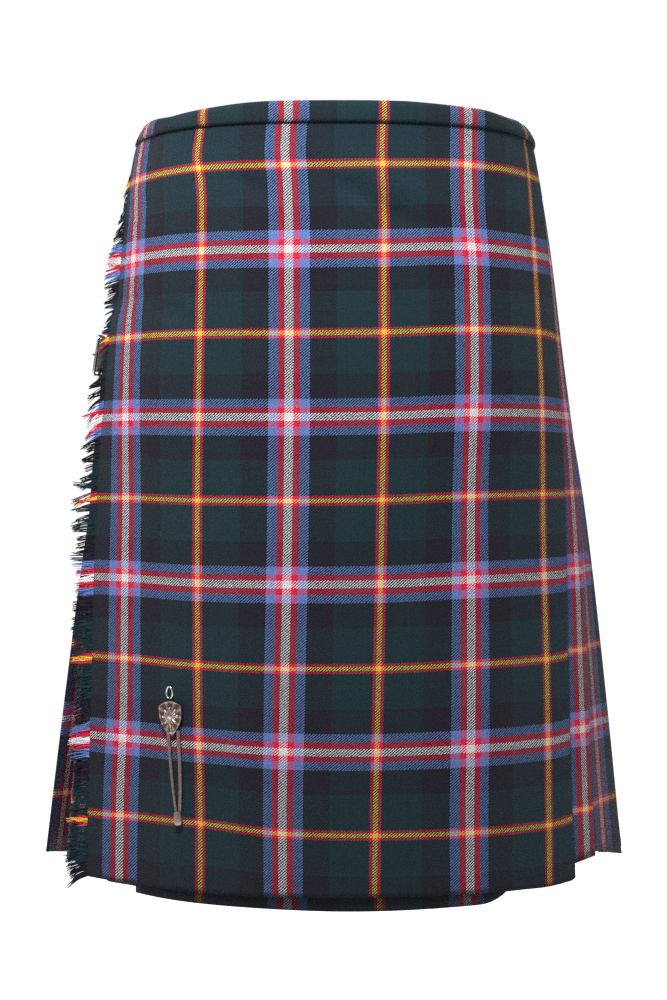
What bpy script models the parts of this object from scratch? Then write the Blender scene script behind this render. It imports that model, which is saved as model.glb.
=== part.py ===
"""Scottish kilt, wrapped and buckled round an unseen waist.

Metres, +Z up. The origin is the middle of the waist opening, level with the middle of the waistband.
The front faces -Y and +X is the wearer's left.

Every place on the kilt has three measures:
  depth  down from the top edge,
  arc    round the kilt from the middle of the front, towards +X, along the over-apron's cloth,
  rise   outwards from the middle of the over-apron's cloth.
"""

import math
from collections import namedtuple

import bmesh
import bpy
import numpy as np
from mathutils import Matrix, Vector

# Cloth
CLOTH = 0.0011  # thickness of the wool
LAYER = 0.0016  # from the middle of one layer to the middle of the next
SEAM = 0.0003  # gap between two pieces that are sewn together
TOP = 0.009  # height of the top edge over the origin
LENGTH = 0.619  # top edge to the over-apron's hem, at the front middle
LEFT_HEM_RISE = 0.0025  # how far that hem rises by the fringed edge
RIGHT_HEM_RISE = 0.0075  # how far it rises by the fold
UNDER_LENGTH = 0.631  # the under-apron hangs a little lower
SEAM_LENGTH = 0.624  # where the under-apron is joined to the pleats

# Waistband
BAND_HEIGHT = 0.0176
BAND_STEP = 0.0005  # how far the waistband stands above the cloth

# Aprons
APRON_LEFT = 0.2165  # arc from the front middle to the fringed edge, towards -X
APRON_RIGHT = 0.2062  # arc from the front middle to the fold at +X
EDGE_LIFT_WIDTH = 0.050  # stretch over which the fringed edge comes off the layers below it
UNDER_RIGHT = 0.175  # arc to the under-apron's free edge
UNDER_LEFT = 0.165  # arc to the under-apron's fold at -X
UNDER_TUCK = 0.050  # how far that fold goes back under
UNDER_CORNER = 0.060  # stretch over which the free corner's hem rises
UNDER_CORNER_RISE = 0.012
SEAM_ARC = 0.012  # the under-apron's seam lies this far behind the fringed edge
UNDER_STEPS = 15

# Fringe along the over-apron's free edge
FRINGE_REACH = 0.015
FRINGE_THICKNESS = 0.002
FRINGE_TOP = 0.024
FRINGE_BOTTOM = 0.621

# Pleats
PLEATS = 19
LAST_GAP = 0.065  # share of the back stretch between the last fold and the fringed edge
STITCHED_HEIGHT = 0.007  # height of a fold over its valley where the pleats are stitched down
FIRST_KICKS = (0.45, 0.70)  # share of the full swing on the pleats next to the over-apron
OUTER_STEPS = 4
INNER_STEPS = 2
FOLD_STEPS = 3  # along the over-apron's fold and the layers under it
VALLEY = -2 * LAYER
UNDER = -4 * LAYER

# The kilt's plan at each level. half_width, front, back: reach of the over-apron's cloth from the
# origin. side_y: Y of the widest line. squareness: power of the superellipse. fold_height: height of
# a pleat's fold over its valley. tuck: width of cloth hidden behind each fold. edge_lift: how far the
# over-apron's fringed edge stands off.
Level = namedtuple(
    "Level", "depth half_width front back side_y squareness fold_height tuck edge_lift"
)
LEVELS = (
    Level(0.000, 0.1552, 0.1150, 0.1080, -0.004, 2.50, 0.0070, 0.0200, 0.0050),
    Level(0.020, 0.1626, 0.1160, 0.1120, 0.001, 2.41, 0.0070, 0.0205, 0.0060),
    Level(0.100, 0.1753, 0.1210, 0.1310, 0.004, 2.45, 0.0076, 0.0280, 0.0042),
    Level(0.200, 0.1868, 0.1260, 0.1520, 0.013, 2.48, 0.0090, 0.0400, 0.0076),
    Level(0.330, 0.2044, 0.1300, 0.1720, 0.025, 2.20, 0.0135, 0.0510, 0.0108),
    Level(0.470, 0.2176, 0.1330, 0.1900, 0.035, 2.17, 0.0185, 0.0520, 0.0100),
    Level(LENGTH, 0.2313, 0.1360, 0.2075, 0.046, 2.15, 0.0225, 0.0515, 0.0105),
)

# Straps and buckles
LEATHER = 0.0015
AIR = 0.0006  # clearance in the buckles
STRAP_WIDTH = 0.025
BAR_RADIUS = 0.0013
BUCKLE_LENGTH = 0.027  # middle to middle of the heel bar and the front bar
BUCKLE_HEIGHT = 0.034
BUCKLE_CORNER = 0.004
PRONG_RADIUS = 0.0009
HOLE_LENGTH = 0.008
HOLE_WIDTH = 0.003
STUB = 0.010  # end of the tab, sewn down behind the heel bar
TAB_LENGTH = 0.046
KEEPER_AT = 0.026  # behind the heel bar
KEEPER_WIDTH = 0.008
TIP_PAST_KEEPER = 0.020

# One row for each strap. side: -1 runs back from the fringed edge, +1 from the fold at +X. root: arc
# behind that edge where the strap comes out. run: root to the buckle's front bar. root_rise: where
# the strap starts, over the over-apron's middle, or None where it starts on the pleats.
Strap = namedtuple("Strap", "name side depth root run root_rise")
STRAPS = (
    Strap("right_hip", -1, 0.190, -0.008, 0.062, -0.0010),
    Strap("right_waist", -1, 0.045, -0.008, 0.074, -0.0010),
    Strap("left_waist", +1, 0.045, 0.034, 0.046, None),
)

# Kilt pin, in its own plane: x across, y up, both from the middle of the pin, z off the cloth
PIN_ARC = -0.1310
PIN_DEPTH = 0.5150
PIN_LEAN = math.radians(4.0)
PIN_OFF_CLOTH = 0.0004
SHIELD_WIDTH = 0.0190
SHIELD_TOP = 0.0450
SHIELD_BOTTOM = 0.0165
SHIELD_THICKNESS = 0.0026
SPINE_RADIUS = 0.0014
SPINE_TOP = (0.0040, 0.0135)
SPINE_FOOT_X = 0.0028
NEEDLE_RADIUS = 0.0009
NEEDLE_TOP = (-0.0048, 0.0163)
NEEDLE_FOOT_X = -0.0012
CLASP_X = 0.0010
CLASP_BOTTOM = -0.0570
CLASP_HEIGHT = 0.0110
CLASP_WIDTH = 0.0066
CLASP_THICKNESS = 0.0046
CLASP_EDGE = 0.0008
LOOP_RADIUS = 0.0046
LOOP_WIDTH = 0.0035  # half of its width
LOOP_WIRE = 0.0010
LOOP_STEPS = 12


# --- scene -------------------------------------------------------------------------------------


def clear_scene():
    for item in list(bpy.data.objects):
        bpy.data.objects.remove(item, do_unlink=True)


def new_collection(name):
    collection = bpy.data.collections.new(name)
    bpy.context.scene.collection.children.link(collection)
    return collection


def new_material(name, colour, roughness, metallic=0.0):
    material = bpy.data.materials.new(name)
    material.use_nodes = True
    shader = material.node_tree.nodes["Principled BSDF"]
    shader.inputs["Base Color"].default_value = (*colour, 1.0)
    shader.inputs["Roughness"].default_value = roughness
    shader.inputs["Metallic"].default_value = metallic
    material.diffuse_color = (*colour, 1.0)
    return material


def move_to(collection, item):
    for old in list(item.users_collection):
        old.objects.unlink(item)
    collection.objects.link(item)


def add_object(name, data, material):
    item = bpy.data.objects.new(name, data)
    data.materials.append(material)
    KILT.objects.link(item)
    return item


def add_solidify(item, thickness):
    modifier = item.modifiers.new("thickness", "SOLIDIFY")
    modifier.thickness = thickness
    modifier.offset = 0.0
    modifier.use_even_offset = True
    modifier.use_quality_normals = True


def split_outwards(corners):
    """Two triangles for a four-sided face, split so that layers lying on each other bow alike."""
    a, b, c, d = corners
    if (a.co + c.co).xy.length > (b.co + d.co).xy.length:
        return (a, b, c), (a, c, d)
    return (a, b, d), (b, c, d)


def loft(name, rows, thickness, material):
    """A wall of even thickness through rows of points, with as many points in each row."""
    mesh = bpy.data.meshes.new(name)
    shape = bmesh.new()
    grid = [[shape.verts.new(point) for point in row] for row in rows]
    for upper, lower in zip(grid, grid[1:]):
        for i in range(len(upper) - 1):
            for corners in split_outwards((upper[i], lower[i], lower[i + 1], upper[i + 1])):
                shape.faces.new(corners)
    shape.to_mesh(mesh)
    shape.free()
    item = add_object(name, mesh, material)
    add_solidify(item, thickness)
    return item


def wire(name, points, radius, material, closed=False):
    curve = bpy.data.curves.new(name, "CURVE")
    curve.dimensions = "3D"
    curve.bevel_depth = radius
    curve.bevel_resolution = 2
    curve.use_fill_caps = True
    spline = curve.splines.new("POLY")
    spline.points.add(len(points) - 1)
    for target, point in zip(spline.points, points):
        target.co = (*point, 1.0)
    spline.use_cyclic_u = closed
    return add_object(name, curve, material)


# --- the kilt's plan ---------------------------------------------------------------------------


def level_at(depth):
    """The row of LEVELS for any depth, worked out between the two rows next to it."""
    depths = [level.depth for level in LEVELS]
    return Level(*(np.interp(depth, depths, column) for column in zip(*LEVELS)))


class Ring:
    """The plan at one depth: points round the kilt, directions out of them, and arcs along them."""

    STEPS = 720

    def __init__(self, depth):
        level = level_at(depth)
        turn = np.linspace(0.0, 2.0 * math.pi, self.STEPS + 1)
        across, along = np.sin(turn), -np.cos(turn)
        power = 2.0 / level.squareness
        reach = np.where(along < 0.0, level.front + level.side_y, level.back - level.side_y)
        x = level.half_width * np.sign(across) * np.abs(across) ** power
        y = level.side_y + reach * np.sign(along) * np.abs(along) ** power
        steps = np.hypot(np.diff(x), np.diff(y))
        self.arcs = np.concatenate([[0.0], np.cumsum(steps)])
        self.girth = self.arcs[-1]
        self.x, self.y, self.depth = x, y, depth

    def flat(self, arc):
        arc = arc % self.girth
        return np.array([np.interp(arc, self.arcs, self.x), np.interp(arc, self.arcs, self.y)])

    def outward(self, arc):
        reach = 0.002
        along = self.flat(arc + reach) - self.flat(arc - reach)
        return np.array([along[1], -along[0]]) / np.linalg.norm(along)

    def place(self, arc, rise, depth=None):
        """The point at this arc and rise. Its own depth may differ a little from the ring's."""
        x, y = self.flat(arc) + rise * self.outward(arc)
        return Vector((x, y, TOP - (self.depth if depth is None else depth)))

    def arc_facing(self, other, arc):
        """The arc that lies straight out from, or in from, an arc of another ring."""
        start, out = other.flat(arc), other.outward(arc)
        aside = (self.x - start[0]) * out[1] - (self.y - start[1]) * out[0]
        ahead = self.x * out[0] + self.y * out[1] > 0.0
        crossing = np.flatnonzero(ahead[:-1] & (aside[:-1] * aside[1:] <= 0.0))[0]
        share = aside[crossing] / (aside[crossing] - aside[crossing + 1])
        return self.arcs[crossing] + share * (self.arcs[crossing + 1] - self.arcs[crossing])


def cloth_rows(section, hem):
    """Rows of points down the cloth: section gives (arc, rise) at a depth, hem the length at an arc."""
    rows = []
    for level in LEVELS:
        ring = Ring(level.depth)
        share = level.depth / LENGTH
        points = section(level.depth)
        rows.append([ring.place(arc, rise, share * hem(arc)) for arc, rise in points])
    return rows


def line(start, end, steps):
    """Points from start to end, both included."""
    return [
        tuple(a + (b - a) * i / steps for a, b in zip(start, end))
        for i in range(steps + 1)
    ]


# --- pleats ------------------------------------------------------------------------------------


def back_stretch(depth):
    """Arc from the over-apron's fold round the back to its fringed edge."""
    return Ring(depth).girth - APRON_LEFT - APRON_RIGHT


def reveal(depth):
    """Width of each pleat that shows."""
    return back_stretch(depth) * (1.0 - LAST_GAP) / PLEATS


def fold_height(depth, pleat):
    """Height of a pleat's fold over its valley: it swings out below the stitching."""
    swing = level_at(depth).fold_height - STITCHED_HEIGHT
    share = FIRST_KICKS[pleat] if pleat < len(FIRST_KICKS) else 1.0
    return STITCHED_HEIGHT + swing * share


def apron_fold_rise(depth):
    """Rise of the over-apron's fold, which lies on the first pleat."""
    tuck = level_at(depth).tuck
    return fold_height(depth, 0) * tuck / (reveal(depth) + tuck)


def pleat_section(depth):
    """(arc, rise) points of the pleats, from the over-apron's seam to the under-apron's."""
    tuck = level_at(depth).tuck
    shown = reveal(depth)
    points = [(APRON_RIGHT - tuck, VALLEY + LAYER)]
    for pleat in range(PLEATS):
        fold = APRON_RIGHT + shown * (pleat + 1)
        top = VALLEY + fold_height(depth, pleat)
        start = (fold - shown - tuck, VALLEY)
        if pleat == 0:
            under_fold = (APRON_RIGHT, VALLEY + apron_fold_rise(depth))
            points += line(start, under_fold, FOLD_STEPS)
            points += line(under_fold, (fold, top), INNER_STEPS)[1:]
        else:
            points += line(start, (fold, top), OUTER_STEPS)
        points += line((fold, top - LAYER), (fold - tuck, VALLEY + LAYER), INNER_STEPS)
    end = Ring(depth).girth - APRON_LEFT - SEAM_ARC - SEAM
    points += line((fold - tuck, VALLEY), (end, VALLEY), INNER_STEPS)
    return points


def pleat_hem(arc):
    """Depth of the hem, which runs evenly from the over-apron's fold down to the seam."""
    share = min(max((arc - APRON_RIGHT) / back_stretch(LENGTH), 0.0), 1.0)
    start = LENGTH - RIGHT_HEM_RISE
    return start + (SEAM_LENGTH - start) * share


def make_pleats():
    return loft("pleats", cloth_rows(pleat_section, pleat_hem), CLOTH, TARTAN)


# --- aprons ------------------------------------------------------------------------------------


def edge_lift(arc, depth):
    """How far the over-apron stands off the layers below it, towards its fringed edge."""
    return level_at(depth).edge_lift * max(0.0, 1.0 - (arc + APRON_LEFT) / EDGE_LIFT_WIDTH)


def over_apron_face(depth):
    """(arc, rise) points of the over-apron from its fringed edge to its fold."""
    flat_end = APRON_RIGHT - level_at(depth).tuck
    stretches = (
        ((-APRON_LEFT, 0.0), (-APRON_LEFT + EDGE_LIFT_WIDTH, 0.0), 3),
        ((-APRON_LEFT + EDGE_LIFT_WIDTH, 0.0), (flat_end, 0.0), 14),
        ((flat_end, 0.0), (APRON_RIGHT, apron_fold_rise(depth)), FOLD_STEPS),
    )
    points = [stretches[0][0]]
    for start, end, steps in stretches:
        points += line(start, end, steps)[1:]
    return [(arc, rise + edge_lift(arc, depth)) for arc, rise in points]


def over_apron_section(depth):
    """The over-apron's face, and the cloth folded under behind it."""
    fold_rise = apron_fold_rise(depth)
    flat_end = APRON_RIGHT - level_at(depth).tuck
    under = line((APRON_RIGHT, fold_rise - LAYER), (flat_end, -LAYER), FOLD_STEPS)
    under[-1] = (flat_end + CLOTH / 2 + SEAM, -LAYER)
    return over_apron_face(depth) + under


def over_apron_hem(arc):
    """Depth of the hem, which rises from the front middle to both sides."""
    if arc < 0.0:
        return LENGTH - LEFT_HEM_RISE * (arc / APRON_LEFT) ** 2
    return LENGTH - RIGHT_HEM_RISE * (arc / APRON_RIGHT) ** 2


def make_over_apron():
    return loft("over_apron", cloth_rows(over_apron_section, over_apron_hem), CLOTH, TARTAN)


def under_apron_section(_):
    """(arc, rise) points of the under-apron, from its free edge to its seam with the pleats."""
    fold = -UNDER_LEFT
    inner = fold + UNDER_TUCK
    seam = -APRON_LEFT - SEAM_ARC
    points = line((UNDER_RIGHT, UNDER), (fold, UNDER), UNDER_STEPS)
    points += line((fold, UNDER - LAYER), (inner, UNDER - LAYER), 2)
    points += line((inner, UNDER - 2 * LAYER), (fold, UNDER - 2 * LAYER), 2)
    points += line((fold - LAYER, UNDER - 2 * LAYER), (seam, VALLEY), 3)
    return points


def under_hem(arc):
    """Depth of the under-apron's hem, which rises towards its free corner and towards its seam."""
    corner = max(0.0, (arc - (UNDER_RIGHT - UNDER_CORNER)) / UNDER_CORNER)
    seam = max(0.0, (-arc - UNDER_LEFT) / (APRON_LEFT + SEAM_ARC - UNDER_LEFT))
    rise = UNDER_CORNER_RISE * corner**1.5 + (UNDER_LENGTH - SEAM_LENGTH) * seam
    return UNDER_LENGTH - rise


def make_under_apron():
    return loft("under_apron", cloth_rows(under_apron_section, under_hem), CLOTH, TARTAN)


def make_fringe():
    """A plain strip that fills the reach of the fringe."""
    rows = []
    inner = -APRON_LEFT - SEAM
    outer = -APRON_LEFT - FRINGE_REACH
    for depth, _ in line((FRINGE_TOP, 0.0), (FRINGE_BOTTOM, 0.0), 6):
        ring = Ring(depth)
        rise = edge_lift(-APRON_LEFT, depth)
        rows.append([ring.place(arc, rise) for arc in (inner, outer)])
    return loft("fringe", rows, FRINGE_THICKNESS, TARTAN)


# --- waistband ---------------------------------------------------------------------------------


def band_section(depth):
    """(arc, rise) points of the waistband: over-apron, pleats, then in under the over-apron."""
    girth = Ring(depth).girth
    on_pleats = VALLEY + STITCHED_HEIGHT + LAYER + SEAM
    last_fold = APRON_RIGHT + reveal(depth) * PLEATS
    points = [(arc, rise + LAYER) for arc, rise in over_apron_face(depth)]
    turns = (
        (APRON_RIGHT + 0.020, on_pleats, 2),
        (last_fold + CLOTH, on_pleats, 28),
        (girth - APRON_LEFT - SEAM_ARC, VALLEY + LAYER, 2),
        (girth - UNDER_LEFT - UNDER_TUCK / 5, UNDER + LAYER, 4),
        (girth - UNDER_LEFT, UNDER + LAYER, 1),
        (girth + UNDER_RIGHT, UNDER + LAYER, UNDER_STEPS),
    )
    for arc, rise, steps in turns:
        points += line(points[-1], (arc, rise), steps)[1:]
    return points


def make_waistband():
    rows = []
    for depth in (0.0, BAND_HEIGHT):
        ring = Ring(depth)
        height = depth if depth else -BAND_STEP
        rows.append([ring.place(arc, rise, height) for arc, rise in band_section(depth)])
    return loft("waistband", rows, CLOTH, TARTAN)


# --- straps and buckles ------------------------------------------------------------------------


def pleat_face(depth):
    """Rise of the outer faces of the folds."""
    return VALLEY + level_at(depth).fold_height + CLOTH / 2


class StrapPath:
    """Turns a distance back along a strap, and a height, into a place on the kilt."""

    LONGEST = 0.20

    def __init__(self, strap):
        self.strap = strap
        ring = Ring(strap.depth)
        if strap.side < 0:
            start = ring.girth - APRON_LEFT - strap.root
        else:
            start = APRON_RIGHT + strap.root
        _, bar, _, _ = buckle_heights()
        rise = pleat_face(strap.depth) + bar
        self.arcs = start + strap.side * np.linspace(0.0, self.LONGEST, 101)
        points = np.array([ring.place(arc, rise) for arc in self.arcs])
        steps = np.linalg.norm(np.diff(points, axis=0), axis=1)
        self.distances = np.concatenate([[0.0], np.cumsum(steps)])

    def place(self, distance, height, depth, on_pleats=True):
        arc = np.interp(distance, self.distances, self.arcs)
        ring = Ring(depth)
        arc = ring.arc_facing(Ring(self.strap.depth), arc)
        return ring.place(arc, height + (pleat_face(depth) if on_pleats else 0.0))


def ribbon(name, path, middle, half_widths, material):
    """A strip of leather. middle holds (distance, height, on_pleats) for each point along it."""
    rows = []
    for sign in (-1.0, 1.0):
        rows.append(
            [
                path.place(distance, height, path.strap.depth + sign * half, on_pleats)
                for (distance, height, on_pleats), half in zip(middle, half_widths)
            ]
        )
    return loft(name, rows, LEATHER, material)


def buckle_heights():
    """Heights over the folds of the tab, the bars, the tab's end, and the strap over it."""
    tab = AIR + LEATHER / 2
    bar = tab + LEATHER / 2 + AIR + BAR_RADIUS
    stub = bar + BAR_RADIUS + AIR + LEATHER / 2
    return tab, bar, stub, stub + LEATHER + AIR


def buckle_frame(path):
    """Where the buckle lies: x back along the strap, y up, z out. Its middle is between the bars."""
    _, bar, _, _ = buckle_heights()
    strap = path.strap
    ends = (strap.run, strap.run + BUCKLE_LENGTH)
    levels = (strap.depth - STRAP_WIDTH / 2, strap.depth + STRAP_WIDTH / 2)
    corner = [[path.place(end, bar, depth) for depth in levels] for end in ends]
    middle = (corner[0][0] + corner[0][1] + corner[1][0] + corner[1][1]) / 4
    along = (corner[1][0] + corner[1][1] - corner[0][0] - corner[0][1]).normalized()
    up = (corner[0][0] + corner[1][0] - corner[0][1] - corner[1][1]).normalized()
    out = along.cross(up).normalized() * strap.side
    up = (up - up.dot(along) * along).normalized()
    axes = Matrix((along, up, out)).transposed().to_4x4()
    return Matrix.Translation(middle) @ axes


def round_corners(length, height, radius, steps=3):
    """A closed outline in the XY plane with rounded corners."""
    points = []
    for turn, (sx, sy) in enumerate(((1, 1), (-1, 1), (-1, -1), (1, -1))):
        for step in range(steps + 1):
            angle = math.pi / 2 * (turn + step / steps)
            x = sx * (length / 2 - radius) + radius * math.cos(angle)
            y = sy * (height / 2 - radius) + radius * math.sin(angle)
            points.append(Vector((x, y, 0.0)))
    return points


def make_buckle(path, frame):
    outline = round_corners(BUCKLE_LENGTH, BUCKLE_HEIGHT, BUCKLE_CORNER)
    points = [frame @ point for point in outline]
    return wire(f"buckle_{path.strap.name}", points, BAR_RADIUS, CHROME, closed=True)


def make_prong(path, frame):
    """The pin of the buckle: from the heel bar, up through the strap, onto the front bar."""
    heel = BUCKLE_LENGTH / 2 - BAR_RADIUS - 2 * AIR - LEATHER - PRONG_RADIUS
    front = -BUCKLE_LENGTH / 2
    rest = BAR_RADIUS + AIR + PRONG_RADIUS
    middle = hole_middle()
    outline = (
        (heel, 0.0),
        (middle + HOLE_LENGTH / 4, -0.0002),
        (middle - HOLE_LENGTH / 4, rest),
        (front, rest),
        (front - BAR_RADIUS - PRONG_RADIUS, rest - PRONG_RADIUS),
    )
    points = [frame @ Vector((x, 0.0, z)) for x, z in outline]
    return wire(f"prong_{path.strap.name}", points, PRONG_RADIUS, CHROME)


def hole_middle():
    """Where the strap is level with the space between the bar and the prong, from the middle."""
    tab, bar, _, over = buckle_heights()
    share = (bar + BAR_RADIUS / 2 - tab) / (over - tab)
    return BUCKLE_LENGTH * (share - 0.5)


def cut_hole(item, frame):
    bpy.ops.mesh.primitive_cube_add(size=1.0)
    cutter = bpy.context.object
    cutter.name = f"{item.name}_hole"
    cutter.data.transform(Matrix.Diagonal((HOLE_LENGTH, HOLE_WIDTH, STRAP_WIDTH / 2, 1.0)))
    cutter.data.transform(frame @ Matrix.Translation((hole_middle(), 0.0, 0.0)))
    move_to(CUTTERS, cutter)
    if frame.to_3x3().determinant() < 0:
        cutter.data.flip_normals()
    cutter.hide_render = True
    cutter.display_type = "WIRE"
    modifier = item.modifiers.new("hole", "BOOLEAN")
    modifier.operation = "DIFFERENCE"
    modifier.object = cutter


def make_strap(path, frame):
    strap = path.strap
    tab, _, _, over = buckle_heights()
    front, heel = strap.run, strap.run + BUCKLE_LENGTH
    behind_stub = heel + STUB + 0.004
    tip = heel + KEEPER_AT + TIP_PAST_KEEPER
    on_tab = tab + LEATHER + AIR
    if strap.root_rise is None:
        start = [(0.0, tab, True), (front / 3, tab, True)]
    else:
        climb = back_stretch(strap.depth) * LAST_GAP + strap.root
        start = [
            (0.0, strap.root_rise, False),
            (FRINGE_REACH - strap.root + 0.004, strap.root_rise, False),
            (-strap.root * 2 + climb, tab, True),
        ]
    middle = start + [
        (distance, height, True)
        for distance, height in (
            *line((start[-1][0] + 0.012, tab), (front + 0.002, tab), 2),
            *line((front + 0.0065, tab + 0.0009), (heel - 0.003, over), 3),
            (heel + 0.004, over),
            (heel + STUB, over),
            (behind_stub + 0.006, on_tab),
            (heel + KEEPER_AT + 0.006, on_tab),
            (tip - 0.010, on_tab),
            (tip, on_tab),
        )
    ]
    half_widths = [STRAP_WIDTH / 2] * (len(middle) - 1) + [STRAP_WIDTH / 8]
    item = ribbon(f"strap_{strap.name}", path, middle, half_widths, BLACK_LEATHER)
    cut_hole(item, frame)
    return item


def make_tab(path):
    """The strip sewn to the pleats, folded round the heel bar, with its end sewn down behind it."""
    strap = path.strap
    tab, bar, stub, _ = buckle_heights()
    heel = strap.run + BUCKLE_LENGTH
    radius = bar - tab
    middle = [(d, h, True) for d, h in line((heel + TAB_LENGTH, tab), (heel, tab), 4)]
    for step in range(1, 4):
        angle = math.pi * step / 4
        middle.append((heel - radius * math.sin(angle), bar - radius * math.cos(angle), True))
    middle += [(heel, stub, True), (heel + STUB, stub, True)]
    half_widths = [STRAP_WIDTH / 2] * len(middle)
    return ribbon(f"tab_{strap.name}", path, middle, half_widths, BLACK_LEATHER)


def make_keeper(path):
    """A narrow loop over the strap, with its two ends sewn down beside the tab."""
    strap = path.strap
    tab, _, _, _ = buckle_heights()
    side = STRAP_WIDTH / 2 + LEATHER / 2 + AIR
    top = tab + 2 * (LEATHER + AIR)
    outline = ((-side, AIR), (-side, top), (0.0, top), (side, top), (side, AIR))
    heel = strap.run + BUCKLE_LENGTH
    rows = []
    for step in (0.0, 0.5, 1.0):
        distance = heel + KEEPER_AT + KEEPER_WIDTH * step
        rows.append([path.place(distance, height, strap.depth + down) for down, height in outline])
    return loft(f"keeper_{strap.name}", rows, LEATHER, BLACK_LEATHER)


def make_straps():
    for strap in STRAPS:
        path = StrapPath(strap)
        frame = buckle_frame(path)
        make_strap(path, frame)
        make_tab(path)
        make_buckle(path, frame)
        make_prong(path, frame)
        make_keeper(path)


# --- kilt pin ----------------------------------------------------------------------------------


def pin_frame():
    """Where the pin lies on the over-apron: x across, y up the cloth, z out."""
    half = 0.040
    upper = Ring(PIN_DEPTH - half).place(PIN_ARC, CLOTH / 2 + PIN_OFF_CLOTH)
    lower = Ring(PIN_DEPTH + half).place(PIN_ARC, CLOTH / 2 + PIN_OFF_CLOTH)
    ring = Ring(PIN_DEPTH)
    across = (ring.place(PIN_ARC + half / 4, 0.0) - ring.place(PIN_ARC - half / 4, 0.0)).normalized()
    up = (upper - lower).normalized()
    out = across.cross(up).normalized()
    across = up.cross(out)
    axes = Matrix((across, up, out)).transposed().to_4x4()
    return Matrix.Translation((upper + lower) / 2) @ axes @ Matrix.Rotation(PIN_LEAN, 4, "Z")


def shield_outline():
    """Half of a shield, from the middle of its top to its point, and the other half mirrored."""
    half = SHIELD_WIDTH / 2
    height = SHIELD_TOP - SHIELD_BOTTOM
    right = [(0.0, SHIELD_TOP), (0.75 * half, SHIELD_TOP - 0.04 * height), (half, SHIELD_TOP - 0.20 * height)]
    for step in range(1, 5):
        angle = math.pi / 2 * step / 5
        right.append(
            (half * math.cos(angle) ** 0.8, SHIELD_TOP - height * (0.45 + 0.55 * math.sin(angle)))
        )
    left = [(-x, y) for x, y in reversed(right[1:])]
    return right + [(0.0, SHIELD_BOTTOM)] + left


def make_shield(frame):
    curve = bpy.data.curves.new("pin_shield", "CURVE")
    curve.dimensions = "2D"
    curve.fill_mode = "BOTH"
    curve.extrude = SHIELD_THICKNESS / 2
    spline = curve.splines.new("POLY")
    outline = shield_outline()
    spline.points.add(len(outline) - 1)
    for target, (x, y) in zip(spline.points, outline):
        target.co = (x, y, 0.0, 1.0)
    spline.use_cyclic_u = True
    item = add_object("pin_shield", curve, PEWTER)
    item.matrix_world = frame @ Matrix.Translation((0.0, 0.0, SHIELD_THICKNESS / 2))
    return item


def make_leg(frame, name, ends, radius):
    """A straight rod of the pin, between two (x, y) points."""
    points = [frame @ Vector((x, y, SPINE_RADIUS)) for x, y in ends]
    return wire(name, points, radius, PEWTER)


def make_clasp(frame):
    """The small cap at the pin's foot, which holds the needle's tip."""
    bpy.ops.mesh.primitive_cube_add(size=1.0)
    clasp = bpy.context.object
    clasp.name = "pin_clasp"
    clasp.data.transform(Matrix.Diagonal((CLASP_WIDTH, CLASP_HEIGHT, CLASP_THICKNESS, 1.0)))
    clasp.data.materials.append(PEWTER)
    move_to(KILT, clasp)
    middle = (CLASP_X, CLASP_BOTTOM + CLASP_HEIGHT / 2, CLASP_THICKNESS / 2)
    clasp.matrix_world = frame @ Matrix.Translation(middle)
    bevel = clasp.modifiers.new("edges", "BEVEL")
    bevel.width = CLASP_EDGE
    bevel.segments = 1


def make_pin_loop(frame):
    middle = SHIELD_TOP + SEAM + LOOP_WIRE + LOOP_RADIUS
    turns = [2.0 * math.pi * step / LOOP_STEPS for step in range(LOOP_STEPS)]
    points = [
        Vector((LOOP_WIDTH * math.cos(turn), middle + LOOP_RADIUS * math.sin(turn), SPINE_RADIUS))
        for turn in turns
    ]
    wire("pin_loop", [frame @ point for point in points], LOOP_WIRE, CHROME, closed=True)


def make_pin():
    frame = pin_frame()
    foot = CLASP_BOTTOM + CLASP_HEIGHT + SEAM
    make_shield(frame)
    make_leg(frame, "pin_spine", (SPINE_TOP, (SPINE_FOOT_X, foot)), SPINE_RADIUS)
    make_leg(frame, "pin_needle", (NEEDLE_TOP, (NEEDLE_FOOT_X, foot)), NEEDLE_RADIUS)
    make_clasp(frame)
    make_pin_loop(frame)


# --- build -------------------------------------------------------------------------------------

clear_scene()
KILT = new_collection("scottish_kilt")
CUTTERS = new_collection("cutters")
TARTAN = new_material("tartan_wool", (0.025, 0.060, 0.070), 0.90)
BLACK_LEATHER = new_material("black_leather", (0.012, 0.012, 0.013), 0.45)
CHROME = new_material("chrome", (0.75, 0.75, 0.76), 0.15, metallic=1.0)
PEWTER = new_material("antique_pewter", (0.22, 0.19, 0.17), 0.40, metallic=1.0)

make_over_apron()
make_under_apron()
make_pleats()
make_waistband()
make_fringe()
make_straps()
make_pin()
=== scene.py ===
"""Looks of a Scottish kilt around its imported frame: tartan cloth, fringe, straps, buckles and pin.

Metres, +Z up, in the frame of the CAD model. Every place on the kilt has three measures:
  depth  down from the top edge,
  arc    round the kilt from the middle of the front, towards +X, along the over-apron's cloth,
  rise   outwards from the middle of the over-apron's cloth.
"""

import math
from collections import namedtuple

import bmesh
import bpy
import numpy as np
from mathutils import Matrix, Vector


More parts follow.
